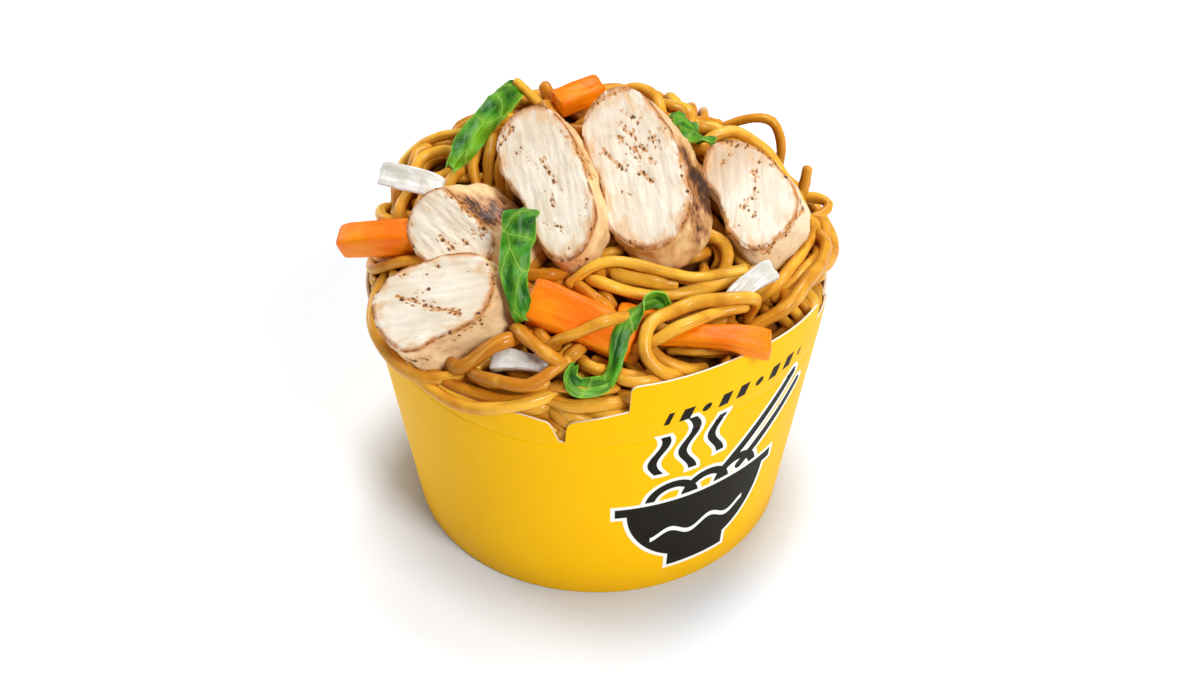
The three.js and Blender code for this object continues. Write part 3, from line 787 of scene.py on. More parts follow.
stickSet = {
    "cuts": 22,       # subdivisions of each side
    "squareness": 5,  # how square the section is
    "endRound": 0.035,
}
carrotSet = {
    # width and height of the section at the first and last end; turn rolls it about its own length
    "carrot_1": {"from": (-56.5, -4, 71), "to": (-38, -8.5, 75.5), "ends": ((6.6, 6.8), (6.8, 7.4)),
                 "turn": 18, "bow": 0.2},
    "carrot_2": {"from": (-13.8, -31.4, 75.6), "to": (7.5, -40.4, 70.4), "ends": ((10.2, 6.6), (8.6, 5.4)),
                 "turn": 38, "bow": 0.3},
    "carrot_3": {"from": (13, -38.8, 70.8), "to": (35.6, -41.2, 70.4), "ends": ((3.6, 2.4), (6.0, 5.0)),
                 "turn": 14, "bow": 1.6},
    "carrot_4": {"from": (-8.8, 19.5, 92.0), "to": (1.3, 24.5, 93.6), "ends": ((6.2, 5.2), (6.2, 5.0)),
                 "turn": 8, "bow": 0},
    "carrot_5": {"from": (4.5, -33, 72.8), "to": (12.5, -34.5, 71.8), "ends": ((6, 4.2), (5.4, 3.6)),
                 "turn": -20, "bow": 0},
}
onionSet = {
    "onion_1": {"from": (-47.3, 0, 86.4), "to": (-33.5, -1.5, 83), "ends": ((5.4, 1.8), (5.6, 2.0)),
                "turn": 42, "bow": 0.6},
    "onion_2": {"from": (-21.5, -41.3, 67.3), "to": (-9.5, -44.1, 67.7), "ends": ((5.4, 3.0), (2.8, 2.0)),
                "turn": 30, "bow": 0.6},
    "onion_3": {"from": (27.4, -30.4, 73.8), "to": (37.6, -22.8, 76.2), "ends": ((3.6, 2.4), (4.7, 2.6)),
                "turn": 36, "bow": 1.0},
}


def makeStick(name, stick, seed, relief, cup=0.0):
    start, end = Vector(stick["from"]), Vector(stick["to"])
    way = (end - start).normalized()
    side = way.cross(Vector((0, 0, 1))).normalized()
    up = side.cross(way)
    turn = Matrix.Rotation(math.radians(stick["turn"]), 3, way)
    side, up = turn @ side, turn @ up
    (wide0, high0), (wide1, high1) = stick["ends"]
    length = (end - start).length
    power = stickSet["squareness"]
    records = []

    def place(spot):
        x, y, z = spot.x * 2, spot.y * 2, spot.z * 2  # each from -1 to 1 over the cube
        norm = (abs(x) ** 10 + abs(y) ** power + abs(z) ** power) ** (1 / power)
        biggest = max(abs(x), abs(y), abs(z))
        ease = biggest / max(norm, 1e-6) if biggest > 0 else 1
        y, z = y * ease, z * ease
        x = x * (1 - stickSet["endRound"] * (abs(y) ** power + abs(z) ** power))
        part = (x + 1) / 2
        wide = wide0 + (wide1 - wide0) * part
        high = high0 + (high1 - high0) * part
        local = Vector((part * length, y * wide / 2, z * high / 2))
        bumps = noise.fractal(Vector((local.x * 0.12, local.y * 0.5, local.z * 0.5 + seed * 9)), 1.0, 2.0, 3)
        broad = noise.noise(Vector((local.x * 0.1, seed * 4.0, 0)))
        local.y += y * relief * bumps
        local.z += z * relief * bumps + cup * (y * y - 0.5) + broad * 0.4
        records.append(tuple(local))
        middle = start.lerp(end, part) + Vector((0, 0, 1)) * stick["bow"] * 4 * part * (1 - part)
        return middle + way * (relief * 0.8 * abs(x) ** 8 * bumps) + side * local.y + up * local.z

    piece = newPiece(name, bpy.ops.mesh.primitive_cube_add, size=1)
    editAll(piece, bpy.ops.mesh.subdivide, number_cuts=stickSet["cuts"])
    moveVertices(piece, place)
    paintPoints(piece, "stickPlace", records, "FLOAT_VECTOR")
    finishSurface(piece)
    return piece


def carrotMaterial():
    paint = Paint("cookedCarrot")
    place = paint.vector("stickPlace")
    grain = paint.grain(0.8, 4, (0.15, 1.5, 1.5), place, 0.6)
    pits = paint.grain(2.2, 3, (0.7, 1, 1), place)
    tone = paint.grain(0.12, 2, coords=place)
    colour = paint.coats(
        rgb(255, 146, 4),
        (tone.rise(0.35, 0.65), rgb(255, 120, 0)),
        (grain.rise(0.5, 0.8) * 0.35, rgb(255, 172, 50)),
        (grain.rise(0.46, 0.25) * 0.35, rgb(240, 92, 4)),
        (pits.rise(0.62, 0.75) * 0.25, rgb(255, 190, 90)),
    )
    normal = paint.bump(grain, 0.15, 0.35, paint.bump(pits, 0.12, 0.5))
    return paint.finish(colour, 0.4 + pits * 0.16, normal, (0.25, (1.0, 0.35, 0.05), 2.0), (0.08, 0.3),
                        Specular_IOR_Level=0.2)


def onionMaterial():
    paint = Paint("cookedOnion")
    place = paint.vector("stickPlace")
    ridges = paint.grain(0.55, 2, (1.6, 0.12, 0.4), place)
    tone = paint.grain(0.3, 2, coords=place)
    colour = paint.coats(
        rgb(236, 234, 230),
        (tone.rise(0.35, 0.65), rgb(214, 211, 200)),
        (ridges.rise(0.5, 0.7) * 0.3, rgb(204, 200, 192)),
    )
    normal = paint.bump(ridges, 0.25, 0.5, paint.bump(paint.grain(1.4, 2, coords=place), 0.1, 0.4))
    return paint.finish(colour, 0.24 + tone * 0.1, normal, (0.5, (1.0, 0.95, 0.8), 3.0), (0.3, 0.15))


carrot = carrotMaterial()
for seed, (node, stick) in enumerate(carrotSet.items(), 1):
    piece = makeStick(node.replace("_", "Stick"), stick, seed, 0.3)
    settle(piece, carrot, "carrot", node)
    toppings.append(piece)
onion = onionMaterial()
for seed, (node, stick) in enumerate(onionSet.items(), 11):
    piece = makeStick(node.replace("_", "Piece"), stick, seed, 0.35, cup=0.5)
    settle(piece, onion, "onion", node)
    toppings.append(piece)
print("sticks made")


leafSet = {
    "thickness": 0.45,
    "stations": 72,   # across the length
    "lanes": 18,      # across the width
    "ragged": 0.9,    # how far the ends are torn
    "blister": 0.28,  # height of the uneven face
    "rib": 0.25,      # depth of the middle rib
    "leaves": {
        "leaf_1": {"width": 6.2, "side": (0.8, 0.35, -0.3), "ruffle": 0.7, "cup": 0.9, "twist": 14,
                   "taper": (0.5, 0.95, 1, 0.85, 0.95, 0.8, 0.3),
                   "path": [(-17.5, 30.5, 91.5), (-22, 18.3, 92.6), (-27, 8.1, 90.8), (-31.5, 0.9, 87)]},
        "leaf_2": {"width": 7.2, "side": (1, 0.1, 0.15), "ruffle": 0.7, "cup": 0.6, "twist": 12,
                   "taper": (0.85, 1, 0.95, 0.95, 0.85, 0.72, 0.66, 0.55),
                   "path": [(-14.8, -18.8, 89.3), (-15.8, -21.8, 90), (-16, -24.5, 87.2), (-16.6, -27, 85.2),
                            (-16.9, -31.4, 81.6), (-15.8, -35, 77.5), (-14.6, -36.6, 73.6)]},
        "leaf_3": {"width": 4.3, "side": (0.75, 0.5, 0.4), "ruffle": 0.3, "cup": 0.5, "twist": 0,
                   "taper": (0.3, 0.8, 1, 1, 1, 0.9, 0.62, 0.6, 0.85, 1, 0.95, 0.6, 0.3),
                   "path": [(15, -33.6, 73.8), (13, -33.4, 76.6), (10.6, -34.6, 77.4), (7.9, -36.8, 76.4),
                            (5.7, -39.9, 74.4), (4.4, -43.4, 71.6), (3.6, -46.2, 69), (1.8, -48.4, 67.2),
                            (-1, -49.2, 66.6), (-4, -49.2, 66.6), (-5.4, -48, 68.6), (-4.6, -46.8, 70.6)]},
        "leaf_4": {"width": 7.4, "side": (0.6, 0.5, -0.4), "ruffle": 0.6, "cup": 0.8, "twist": 0,
                   "taper": (0.6, 1, 1, 0.8, 0.7, 0.4),
                   "path": [(18.3, 12.6, 93.8), (20.6, 9.4, 92.8), (22.3, 5.8, 91.4), (26.6, 6.2, 91)]},
    },
}


def makeLeaf(name, leaf, seed):
    path = leaf["path"]
    sideWay = Vector(leaf["side"]).normalized()
    records = []
    drift = seed * 5.3

    def place(spot):
        part, lane = spot.x + 0.5, spot.y * 2  # lane runs from -1 to 1
        step = 0.01
        here = curvePoint(path, part)
        tangent = (curvePoint(path, min(part + step, 1)) - curvePoint(path, max(part - step, 0))).normalized()
        across = (sideWay - tangent * sideWay.dot(tangent)).normalized()
        across = Matrix.Rotation(math.radians(leaf["twist"] * (part - 0.5)), 3, tangent) @ across
        normal = across.cross(tangent)
        taper = float(np.interp(part, np.linspace(0, 1, len(leaf["taper"])), leaf["taper"]))
        taper += 0.08 * noise.noise(Vector((part * 4, lane, drift)))
        ragged = leafSet["ragged"] * noise.fractal(Vector((lane * 2.2, drift, part * 2)), 1.0, 2.0, 3)
        endPull = (2 * part - 1) ** 9 * ragged
        ruffle = leaf["ruffle"] * abs(lane) ** 1.5 * math.sin(part * 23 + lane * 2 + drift)
        blister = leafSet["blister"] * noise.fractal(Vector((part * 9, lane * 2.2, drift)), 1.0, 2.0, 3)
        cup = leaf["cup"] * lane * lane
        rib = -leafSet["rib"] * math.exp(-(lane / 0.12) ** 2)
        records.append((part * 24, lane * 4, drift))
        return (here + tangent * endPull + across * (lane * leaf["width"] / 2 * taper)
                + normal * (cup + ruffle + blister + rib))

    piece = newPiece(name, bpy.ops.mesh.primitive_grid_add, x_subdivisions=leafSet["stations"],
                     y_subdivisions=leafSet["lanes"], size=1)
    moveVertices(piece, place)
    paintPoints(piece, "leafPlace", records, "FLOAT_VECTOR")
    applyModifier(piece, "SOLIDIFY", thickness=leafSet["thickness"] * mm, offset=0)
    finishSurface(piece, 60)
    return piece


def leafMaterial():
    paint = Paint("cookedLeaf")
    place = paint.vector("leafPlace")
    _, lane, _ = paint.parts(place)
    tone = paint.grain(0.3, 4, coords=place)
    patch = paint.grain(0.14, 1, coords=place)
    jitter = paint.node("TexNoise", None, {"Vector": place, "Scale": 0.5}, output="Color")
    warped = paint.node("VectorMath", {"operation": "ADD"}, {0: place, 1: jitter})
    main = paint.cells(0.13, (1, 0.8, 1), warped, "DISTANCE_TO_EDGE")
    net = paint.cells(0.6, (1, 1, 1), warped, "DISTANCE_TO_EDGE")
    veins = main.rise(0.03, 0.0) * 0.42 + net.rise(0.05, 0.0) * 0.14
    colour = paint.coats(
        rgb(18, 84, 8),
        (tone.rise(0.35, 0.7), rgb(60, 144, 18)),
        (patch.rise(0.45, 0.7) * 0.7, rgb(118, 184, 30)),
        (main.rise(0.2, 0.02) * 0.35, rgb(124, 186, 36)),
        (veins.least(1), rgb(180, 214, 84)),
        (abs(lane).rise(3.6, 4.0) * 0.5, rgb(150, 206, 60)),
    )
    normal = paint.bump(veins + tone * 0.8, 0.4, 0.6)
    return paint.finish(colour, 0.38 + tone * 0.15, normal, (0.1, (0.4, 1.0, 0.1), 1.0), (0.08, 0.3),
                        Specular_IOR_Level=0.3)


leafGreen = leafMaterial()
for seed, (node, leaf) in enumerate(leafSet["leaves"].items(), 1):
    piece = makeLeaf(node.replace("_", "Strip"), leaf, seed)
    settle(piece, leafGreen, "leaf", node)
    toppings.append(piece)
print("leaves made")


heapSet = {
    "rimRadius": 54.0,
    "rimHeight": 62.0,
    "rise": 29.0,
    "centre": (-2.0, 16.0),
    "eye": (-1.0, 6.0, 38.0),   # point inside the heap that heights are measured from
    "cell": 0.45,               # degrees between the cells of the height map
    "widest": 84.0,             # degrees from straight up that the map reaches
    "window": 6,                # cells to each side that a noodle can touch
    "usualReach": 58,           # from the eye to the skin
    "beyond": 120.0,            # farther from the eye than anything
    "coreDepth": 6.2,
}
noodleSet = {
    "radius": 1.4,
    "unevenness": 0.06,
    "sizes": (0.84, 1.08),  # smallest and largest noodle, as a share of the radius
    # rings that round off an end: how far along and how wide, as shares of the radius
    "caps": [(-0.75, 0.0), (-0.72, 0.5), (-0.45, 0.86)],
    "sides": 12,
    "spacing": 1.5,
    "step": 0.8,
    "tries": 10,   # paths to choose from for each noodle
    "starts": 14,  # places to choose from for the start of each path
    # how many are tried, how far above the heap's skin they may reach, the shortest, and the seed
    "deep": {"count": 430, "headroom": -2.3, "shortest": 7, "seed": 4},
    "upper": {"count": 330, "headroom": 0.3, "shortest": 12, "seed": 5},
    "highest": 2.6,          # headroom of those placed one by one
    "overRise": 6,           # how much higher those may lie that cross a topping
    "tuck": (2.6, 6.0),      # how far the ends dip, and over what length
    "lengths": (50, 130),
    "gap": 0.1,              # between the card and a noodle
    "press": 0.8,            # how far a noodle may press into a topping
    "startWithin": 51.5,     # distance from the tub's axis in which noodles start
    "turnBack": (46.5, 51),  # and from which they turn back
    "across": 0.2,           # share of the noodles that don't follow the tub round
}


def heapHeight(x, y):
    centreX, centreY = heapSet["centre"]
    dx, dy = x - centreX, y - centreY
    distance = np.maximum(np.hypot(dx, dy), 1e-6)
    wayX, wayY = dx / distance, dy / distance
    along = centreX * wayX + centreY * wayY
    reach = np.sqrt(along ** 2 - centreX ** 2 - centreY ** 2 + heapSet["rimRadius"] ** 2) - along
    spread = np.minimum(distance / reach, 1)
    steep = (1 - spread ** 3) ** 0.55
    gentle = 1 - spread ** 1.6
    frontness = smooth(0, 1, -wayY)
    return heapSet["rimHeight"] + heapSet["rise"] * (steep + (gentle - steep) * frontness)


class HeightMap:
    # how far the heap reaches from the eye, one cell for each direction
    def __init__(self):
        self.eye = np.array(heapSet["eye"])
        self.pitch = math.radians(heapSet["cell"])
        self.half = int(math.radians(heapSet["widest"]) / self.pitch)
        steps = np.arange(-self.half, self.half + 1) * self.pitch
        u, v = np.meshgrid(steps, steps, indexing="ij")
        tilt = np.hypot(u, v)
        turn = np.arctan2(v, u)
        self.ways = np.stack([np.sin(tilt) * np.cos(turn), np.sin(tilt) * np.sin(turn), np.cos(tilt)], -1)
        self.skin = self.findSkin()
        self.top = self.skin - heapSet["coreDepth"]
        nearby = range(-heapSet["window"], heapSet["window"] + 1)
        self.offsets = np.array([(i, j) for i in nearby for j in nearby])

    def findSkin(self):
        low = np.full(self.ways.shape[:2], 5.0)
        high = np.full(self.ways.shape[:2], 95.0)
        for _ in range(22):
            middle = (low + high) / 2
            spot = self.eye + self.ways * middle[..., None]
            inside = (spot[..., 2] < heapHeight(spot[..., 0], spot[..., 1]))
            inside &= np.hypot(spot[..., 0], spot[..., 1]) < heapSet["rimRadius"]
            low = np.where(inside, middle, low)
            high = np.where(inside, high, middle)
        return low

    def cellOf(self, ways):
        tilt = np.arccos(np.clip(ways[..., 2], -1, 1))
        flat = np.maximum(np.hypot(ways[..., 0], ways[..., 1]), 1e-9)
        limit = self.half - heapSet["window"] - 1
        i = np.clip(np.rint(tilt * ways[..., 0] / flat / self.pitch), -limit, limit).astype(int) + self.half
        j = np.clip(np.rint(tilt * ways[..., 1] / flat / self.pitch), -limit, limit).astype(int) + self.half
        return i, j

    def around(self, ways):
        i, j = self.cellOf(ways)
        ii = i[..., None] + self.offsets[:, 0]
        jj = j[..., None] + self.offsets[:, 1]
        return ii, jj, np.einsum("...kc,...c->...k", self.ways[ii, jj], ways)

    def support(self, ways, radius, heights=None):
        # how far out a noodle's middle lies when it rests on what is there
        source = self.top if heights is None else heights
        ii, jj, cosine = self.around(ways)
        below = source[ii, jj]
        lateral = below ** 2 * (1 - cosine ** 2)
        rests = below * cosine + np.sqrt(np.maximum(radius ** 2 - lateral, 0))
        return np.where(lateral < radius ** 2, rests, 0).max(-1)

    def stamp(self, points, radius):
        offset = points - self.eye
        far = np.linalg.norm(offset, axis=-1)
        ways = offset / far[:, None]
        ii, jj, cosine = self.around(ways)
        lateral = far[:, None] ** 2 * (1 - cosine ** 2)
        reach = far[:, None] * cosine + np.sqrt(np.maximum(radius ** 2 - lateral, 0))
        reach = np.where(lateral < radius ** 2, reach, 0)
        np.maximum.at(self.top, (ii.ravel(), jj.ravel()), reach.ravel())


def castToppings(heap):
    # for each direction, where the toppings begin and where they end
    vertices, faces = [], []
    for piece in toppings:
        base = len(vertices)
        vertices += [vertex.co / mm for vertex in piece.data.vertices]
        faces += [[base + i for i in polygon.vertices] for polygon in piece.data.polygons]
    tree = BVHTree.FromPolygons(vertices, faces)
    shape = heap.skin.shape
    floor = np.full(shape, 1e3)
    roof = np.zeros(shape)
    eye = Vector(heap.eye)
    beyond = heapSet["beyond"]
    for i in range(shape[0]):
        for j in range(shape[1]):
            way = Vector(heap.ways[i, j])
            hit = tree.ray_cast(eye, way)
            if hit[0] is None:
                continue
            floor[i, j] = hit[3]
            roof[i, j] = beyond - tree.ray_cast(eye + way * beyond, -way)[3]
    return floor, roof


def ringTooWide(points, radius):
    # keeps points inside the card, where they are low enough to meet it
    azimuth = np.degrees(np.arctan2(points[:, 0], -points[:, 1]))
    room = wallRadius(azimuth, points[:, 2]) - tubSet["card"] - radius - noodleSet["gap"]
    flat = np.hypot(points[:, 0], points[:, 1])
    spread = np.minimum(1, room / np.maximum(flat, 1e-6))
    points = points.copy()
    points[:, 0] *= spread
    points[:, 1] *= spread
    return points


def wanderPaths(heap, random, count, length):
    # several noodle paths at once, as directions from the eye; most follow the tub round
    step = noodleSet["step"]
    turnFrom, turnFull = noodleSet["turnBack"]
    rows = int(length / step)
    skinSpots = heap.eye + heap.ways * heap.skin[..., None]
    inside = np.argwhere(np.hypot(skinSpots[..., 0], skinSpots[..., 1]) < noodleSet["startWithin"])
    picks = inside[random.integers(len(inside), size=(count, noodleSet["starts"]))]
    room = heap.skin[picks[..., 0], picks[..., 1]] - heap.top[picks[..., 0], picks[..., 1]]
    best = picks[np.arange(count), room.argmax(1)]
    way = heap.ways[best[:, 0], best[:, 1]].copy()
    spot = heap.eye + way * heap.skin[best[:, 0], best[:, 1]][:, None]
    roundWay = np.stack([-spot[:, 1], spot[:, 0], np.zeros(count)], -1)
    heading = unit(roundWay - way * (roundWay * way).sum(1)[:, None])
    turn = random.normal(0, 0.5, count) + np.where(random.random(count) < 0.5, 0, math.pi)
    turn += np.where(random.random(count) < noodleSet["across"], random.uniform(0, 6.28, count), 0)
    side = np.cross(way, heading)
    heading = heading * np.cos(turn)[:, None] + side * np.sin(turn)[:, None]
    bend = random.normal(0, 0.012, count)
    swing = random.uniform(0.01, 0.05, count)
    pace = random.uniform(0.05, 0.14, count)
    phase = random.uniform(0, 6.28, count)
    path = np.empty((count, rows, 3))
    for row in range(rows):
        path[:, row] = way
        i, j = heap.cellOf(way)
        far = heap.skin[i, j]
        spot = heap.eye + way * far[:, None]
        flat = np.hypot(spot[:, 0], spot[:, 1])
        side = np.cross(way, heading)
        inward = -(side[:, 0] * spot[:, 0] + side[:, 1] * spot[:, 1]) / np.maximum(flat, 1)
        outgoing = (heading[:, 0] * spot[:, 0] + heading[:, 1] * spot[:, 1]) / np.maximum(flat, 1)
        curve = bend + swing * np.sin(row * step * pace + phase)
        back = np.sign(inward) * (0.02 + 0.24 * np.maximum(outgoing, 0)) * smooth(turnFrom, turnFull, flat)
        curve += np.where(flat > turnFrom, back, 0)
        heading = heading + side * (curve * step)[:, None]
        way = unit(way + heading * (step / far)[:, None])
        heading = unit(heading - way * (heading * way).sum(1)[:, None])
    return path


def drape(required, rounds=45):
    # a noodle is too stiff to follow every dip: it bridges between what holds it up
    height = required.copy()
    for _ in range(rounds):
        height[1:-1] = np.maximum(required[1:-1], 0.5 * height[1:-1] + 0.25 * (height[:-2] + height[2:]))
    for _ in range(3):
        height[1:-1] = 0.5 * height[1:-1] + 0.25 * (height[:-2] + height[2:])
    return height


def evenOut(points, rounds=2):
    points = points.copy()
    for _ in range(rounds):
        points[1:-1] = 0.5 * points[1:-1] + 0.25 * (points[:-2] + points[2:])
    return points


def tuckEnds(points, eye):
    # both ends dip, as they do where a noodle goes on under its neighbours
    lengths = lengthsAlong(points)
    near = np.minimum(lengths, lengths[-1] - lengths)
    reach = min(noodleSet["tuck"][1], lengths[-1] * 0.3)
    dip = noodleSet["tuck"][0] * (1 - smooth(0, reach, near))
    ways = unit(points - eye)
    return points - ways * dip[:, None]


def longestRun(free):
    best, start = (0, 0), None
    for i, isFree in enumerate([*free, False]):
        if isFree and start is None:
            start = i
        if not isFree and start is not None:
            if i - start > best[1] - best[0]:
                best = (start, i)
            start = None
    return best


def layNoodles(heap, floor, layer):
    random = np.random.default_rng(layer["seed"])
    radius = noodleSet["radius"]
    laid = []

    def judge(paths):
        shape = paths.shape[:2]
        flat = paths.reshape(-1, 3)
        far = heap.support(flat, radius).reshape(shape)
        i, j = heap.cellOf(flat)
        over = np.where(far > 0, far + radius - heap.skin[i, j].reshape(shape), 9)
        blocked = far > floor[i, j].reshape(shape) + noodleSet["press"]
        bad = (over > layer["headroom"]) | blocked
        return far, over, bad

    def lay(path, far, bad):
        start, end = longestRun(~bad)
        if (end - start) * noodleSet["step"] < layer["shortest"]:
            return False
        draped = drape(far[start:end])
        points = heap.eye + path[start:end] * draped[:, None]
        points = tuckEnds(evenOut(ringTooWide(points, radius)), heap.eye)
        heap.stamp(points, radius)
        laid.append(points)
        return True

    for _ in range(layer["count"]):
        length = random.uniform(*noodleSet["lengths"])
        paths = wanderPaths(heap, random, noodleSet["tries"], length)
        far, over, bad = judge(paths)
        free = np.array([end - start for start, end in (longestRun(~row) for row in bad)])
        score = over.mean(1) - 0.03 * free
        best = int(score.argmin())
        if not lay(paths[best], far[best], bad[best]):
            continue
        # up to two more run beside it
        path = paths[best]
        for companion in range(random.integers(0, 3)):
            tangent = np.gradient(path, axis=0)
            side = np.cross(path, tangent)
            side /= np.maximum(np.linalg.norm(side, axis=1)[:, None], 1e-9)
            shift = (2 * radius + 0.15) * (1 + 0.1 * np.sin(np.linspace(0, 5, len(path)) + companion))
            sign = 1 if random.random() < 0.5 else -1
            beside = unit(path + side * (sign * shift / heapSet["usualReach"])[:, None])
            trim = random.integers(0, len(path) // 4, 2)
            beside = beside[trim[0]:len(path) - trim[1]]
            far, over, bad = judge(beside[None])
            lay(beside, far[0], bad[0])
            path = beside
    return laid


# Noodles that are placed one by one: those that stand out of the heap or hang over the card, as
# azimuth, radius and height, and those over the open front, as places in plan.
standing = [
    [(-82, 46, 66), (-72, 51, 64), (-63, 54, 62.5), (-52, 54.4, 61), (-42, 54, 61.8), (-35, 50, 63.2),
     (-30, 43, 64)],
    [(-54, 46, 62.8), (-47, 53.4, 61.8), (-37, 54.6, 60.4), (-28, 54.9, 60.8), (-18, 53, 63), (-9, 47, 63.6),
     (0, 40, 65.5)],
    [(-56, 46, 63.8), (-48, 51, 62.6), (-38, 51.8, 62), (-28, 51.8, 62), (-18, 51, 62.6), (-10, 46.5, 64)],
    [(-50, 43.5, 63.5), (-40, 48.8, 62.6), (-28, 49, 62.4), (-18, 48.4, 62.6), (-8, 47.2, 63), (2, 45, 63.6)],
    [(70, 44, 69), (80, 51.5, 67), (94, 54.3, 64.6), (110, 53.5, 66.5), (124, 46, 74)],
    [(132, 36, 82), (124, 41, 85.6), (119.5, 44.6, 86.6), (116.5, 46.6, 85), (114, 47.2, 79), (111, 44, 71)],
    [(-102, 47, 66), (-109, 49, 73.5), (-115, 47.9, 78), (-119, 42, 83), (-126, 33, 85)],
    [(107, 48, 70), (103, 53.3, 71), (99.5, 54.2, 70.3), (96, 47, 68.5)],
    [(107, 51, 77), (105, 49, 71), (101, 43, 67)],
    [(-148, 34, 92.5), (-152, 29.5, 89.5), (-160, 22, 85)],
    [(-158, 31.3, 91.2), (-158.8, 28.4, 89.4), (-159.7, 24.5, 86)],
]
front = [
    [(-38, 17), (-40, 11), (-44, 5.4), (-46, -1), (-46.5, -7)],
    [(-36, 8), (-38, 1), (-41.5, -3), (-43.5, -7.5), (-45, -14)],
    [(-43.5, 10), (-41, 17), (-37, 19), (-30, 15)],
    [(-42, 3), (-41, 5), (-39, 10), (-35, 11.5), (-30, 10.5)],
    [(-23, 20), (-24, 13), (-24.5, 7), (-26, 2)],
    [(-25.5, 18), (-26.5, 10.5), (-28, 5), (-28.5, 0.5)],
    [(-17, 33), (-15, 30), (-11, 22), (-8, 15.5)],
    [(8, 17), (10, 19), (16, 19), (24, 20.5), (31, 24.5), (37, 27), (42, 22)],
    [(5, 31), (11, 29), (16.5, 27), (20, 20.5), (23.5, 15)],
    [(14, 22.5), (21.5, 21), (27.5, 22), (33.5, 22.5), (37.5, 18), (39.5, 11)],
    [(12, 24), (16, 20.5), (21.5, 17), (26, 18), (30.5, 15.5), (34.5, 12.5), (38, 6)],
    [(-3, 27), (2, 28.5), (6.5, 31), (10.5, 29), (15, 23.5), (16.5, 17)],
    [(23, 10), (27, 12.7), (32, 14.8), (37.5, 14.5), (41.5, 13.5), (44.7, 11), (48, 5), (50, -3)],
    [(-10.5, -51), (-7.5, -51.5), (-3.5, -52), (2.5, -51.5), (9, -51)],
    [(-12, -49), (-7.5, -49.5), (-3.5, -50), (0.5, -50), (6.5, -50), (12, -49.5)],
    [(-10.5, -49), (-8.5, -48), (-5, -48), (-0.5, -48.5), (3.5, -48.7), (8, -49.2)],
    [(-27, -43), (-24.5, -44.2), (-18.5, -45.8), (-13.2, -47.3), (-8.3, -47.4), (-2, -46.5)],
    [(-28, -39.7), (-25.2, -40.7), (-20, -42.5), (-14.6, -44.3), (-9.4, -44.2), (-7, -42.3),
     (-4.4, -40.2)],
    [(-34, -38), (-31, -39.6), (-27, -41.2), (-22.5, -42.3), (-18.5, -44.4), (-14.6, -45.7),
     (-9.4, -44.4), (-6.3, -43), (-2.5, -40.5)],
    [(0, -44), (2, -45), (4.7, -46), (9, -46.4), (13, -46)],
    [(3, -45.5), (4, -46.5), (7.5, -47), (11, -46.5), (16, -45)],
    [(-20, -40), (-16, -39), (-14.4, -38.4), (-14, -35.5)],
    [(-10.5, -38), (-8.6, -40), (-5.3, -42.2), (-1.5, -44.4), (3, -46)],
    [(-13, -36), (-10.5, -39), (-7, -41.5), (-3.5, -42.5), (-1, -44.5)],
    [(6.4, -46), (7.4, -43.2), (8.4, -41.6), (9.3, -39.5)],
    [(9, -38), (11.4, -41), (14.4, -42.7), (19.2, -43.7), (24, -43)],
    [(11, -39), (14.5, -39.5), (17.5, -37), (20.5, -35.5)],
    [(16.5, -40.5), (19.5, -40), (24, -39), (30, -37.5)],
    [(0.5, -21.5), (1, -27), (2, -30.5), (4.5, -33.5), (7, -36)],
    [(-7, -24), (-5.5, -27), (-3.5, -28.5), (-1, -30.5), (1.5, -32.5), (5, -35.5)],
    [(24, -9), (25, -13.5), (28, -14), (29, -18), (29, -22)],
    [(-2.5, -26), (0.5, -28), (6.5, -29.5), (14.5, -29.5), (20.5, -27.5), (27, -24.5), (33, -20.5),
     (40, -16.5), (44.5, -12.5), (47, -7)],
    [(36, -23.5), (37.8, -19.5), (39.8, -16), (42.4, -12.4), (45, -8), (47, -1)],
    [(38.2, -24.5), (40.3, -19.8), (43.3, -15), (46.2, -10), (49, -4.3), (50, 4)],
    [(40.8, -23), (43.4, -17.2), (46.5, -13), (49, -9.5), (51, -3)],
    [(39.5, -28), (41.6, -22.5), (44.2, -18), (47.4, -12.7), (50, -6.5), (51.5, 1)],
    [(43, -22.5), (44.5, -19.5), (47, -15.5), (50, -9.5), (51, -3), (51, 5)],
    [(23, -26.5), (15.5, -27), (9, -26.5), (4.5, -26), (3.2, -24.7), (5.5, -23.3), (10.5, -24),
     (15, -24.5), (21.5, -25)],
]
# these cross over carrots and slices, too
crossing = [
    [(-5.6, -27.6), (-2.7, -25.9), (2.1, -24), (6.9, -24), (13.4, -25), (19.9, -25.3), (26.5, -23.2),
     (32.5, -20.5), (37, -18), (42, -14)],
    [(33, -28), (28.5, -29.5), (21, -33), (15, -36), (12, -38.5), (8, -41)],
    [(34.5, -30), (32.5, -27.5), (28.5, -28), (25, -29), (19.5, -30.5), (15, -33), (11, -35), (9.5, -37),
     (9, -40.5), (10.5, -43), (13, -44.5), (18, -45.5)],
    [(-10, -40.5), (-8.6, -39.6), (-6, -38.6), (-3.2, -38), (-0.7, -36.7), (2.1, -35.7), (5.5, -35)],
    [(35.5, -31.5), (36, -30.5), (39.5, -25.5), (42.5, -20), (45.5, -15.5), (48, -10), (50, -3)],
    [(-35.6, -40), (-32.4, -40.8), (-28.2, -41.2), (-24.7, -40.3), (-21.1, -38.7), (-17.6, -37.8),
     (-13.8, -37.8)],
    [(-29.6, -43), (-25, -44), (-18.8, -45.8), (-15.7, -46.6), (-13.1, -46.6), (-10, -45.3),
     (-7.4, -43.6), (-5.6, -43)],
    [(-16, -36), (-13.4, -38), (-9.2, -41.4), (-7.4, -42.6)],
]


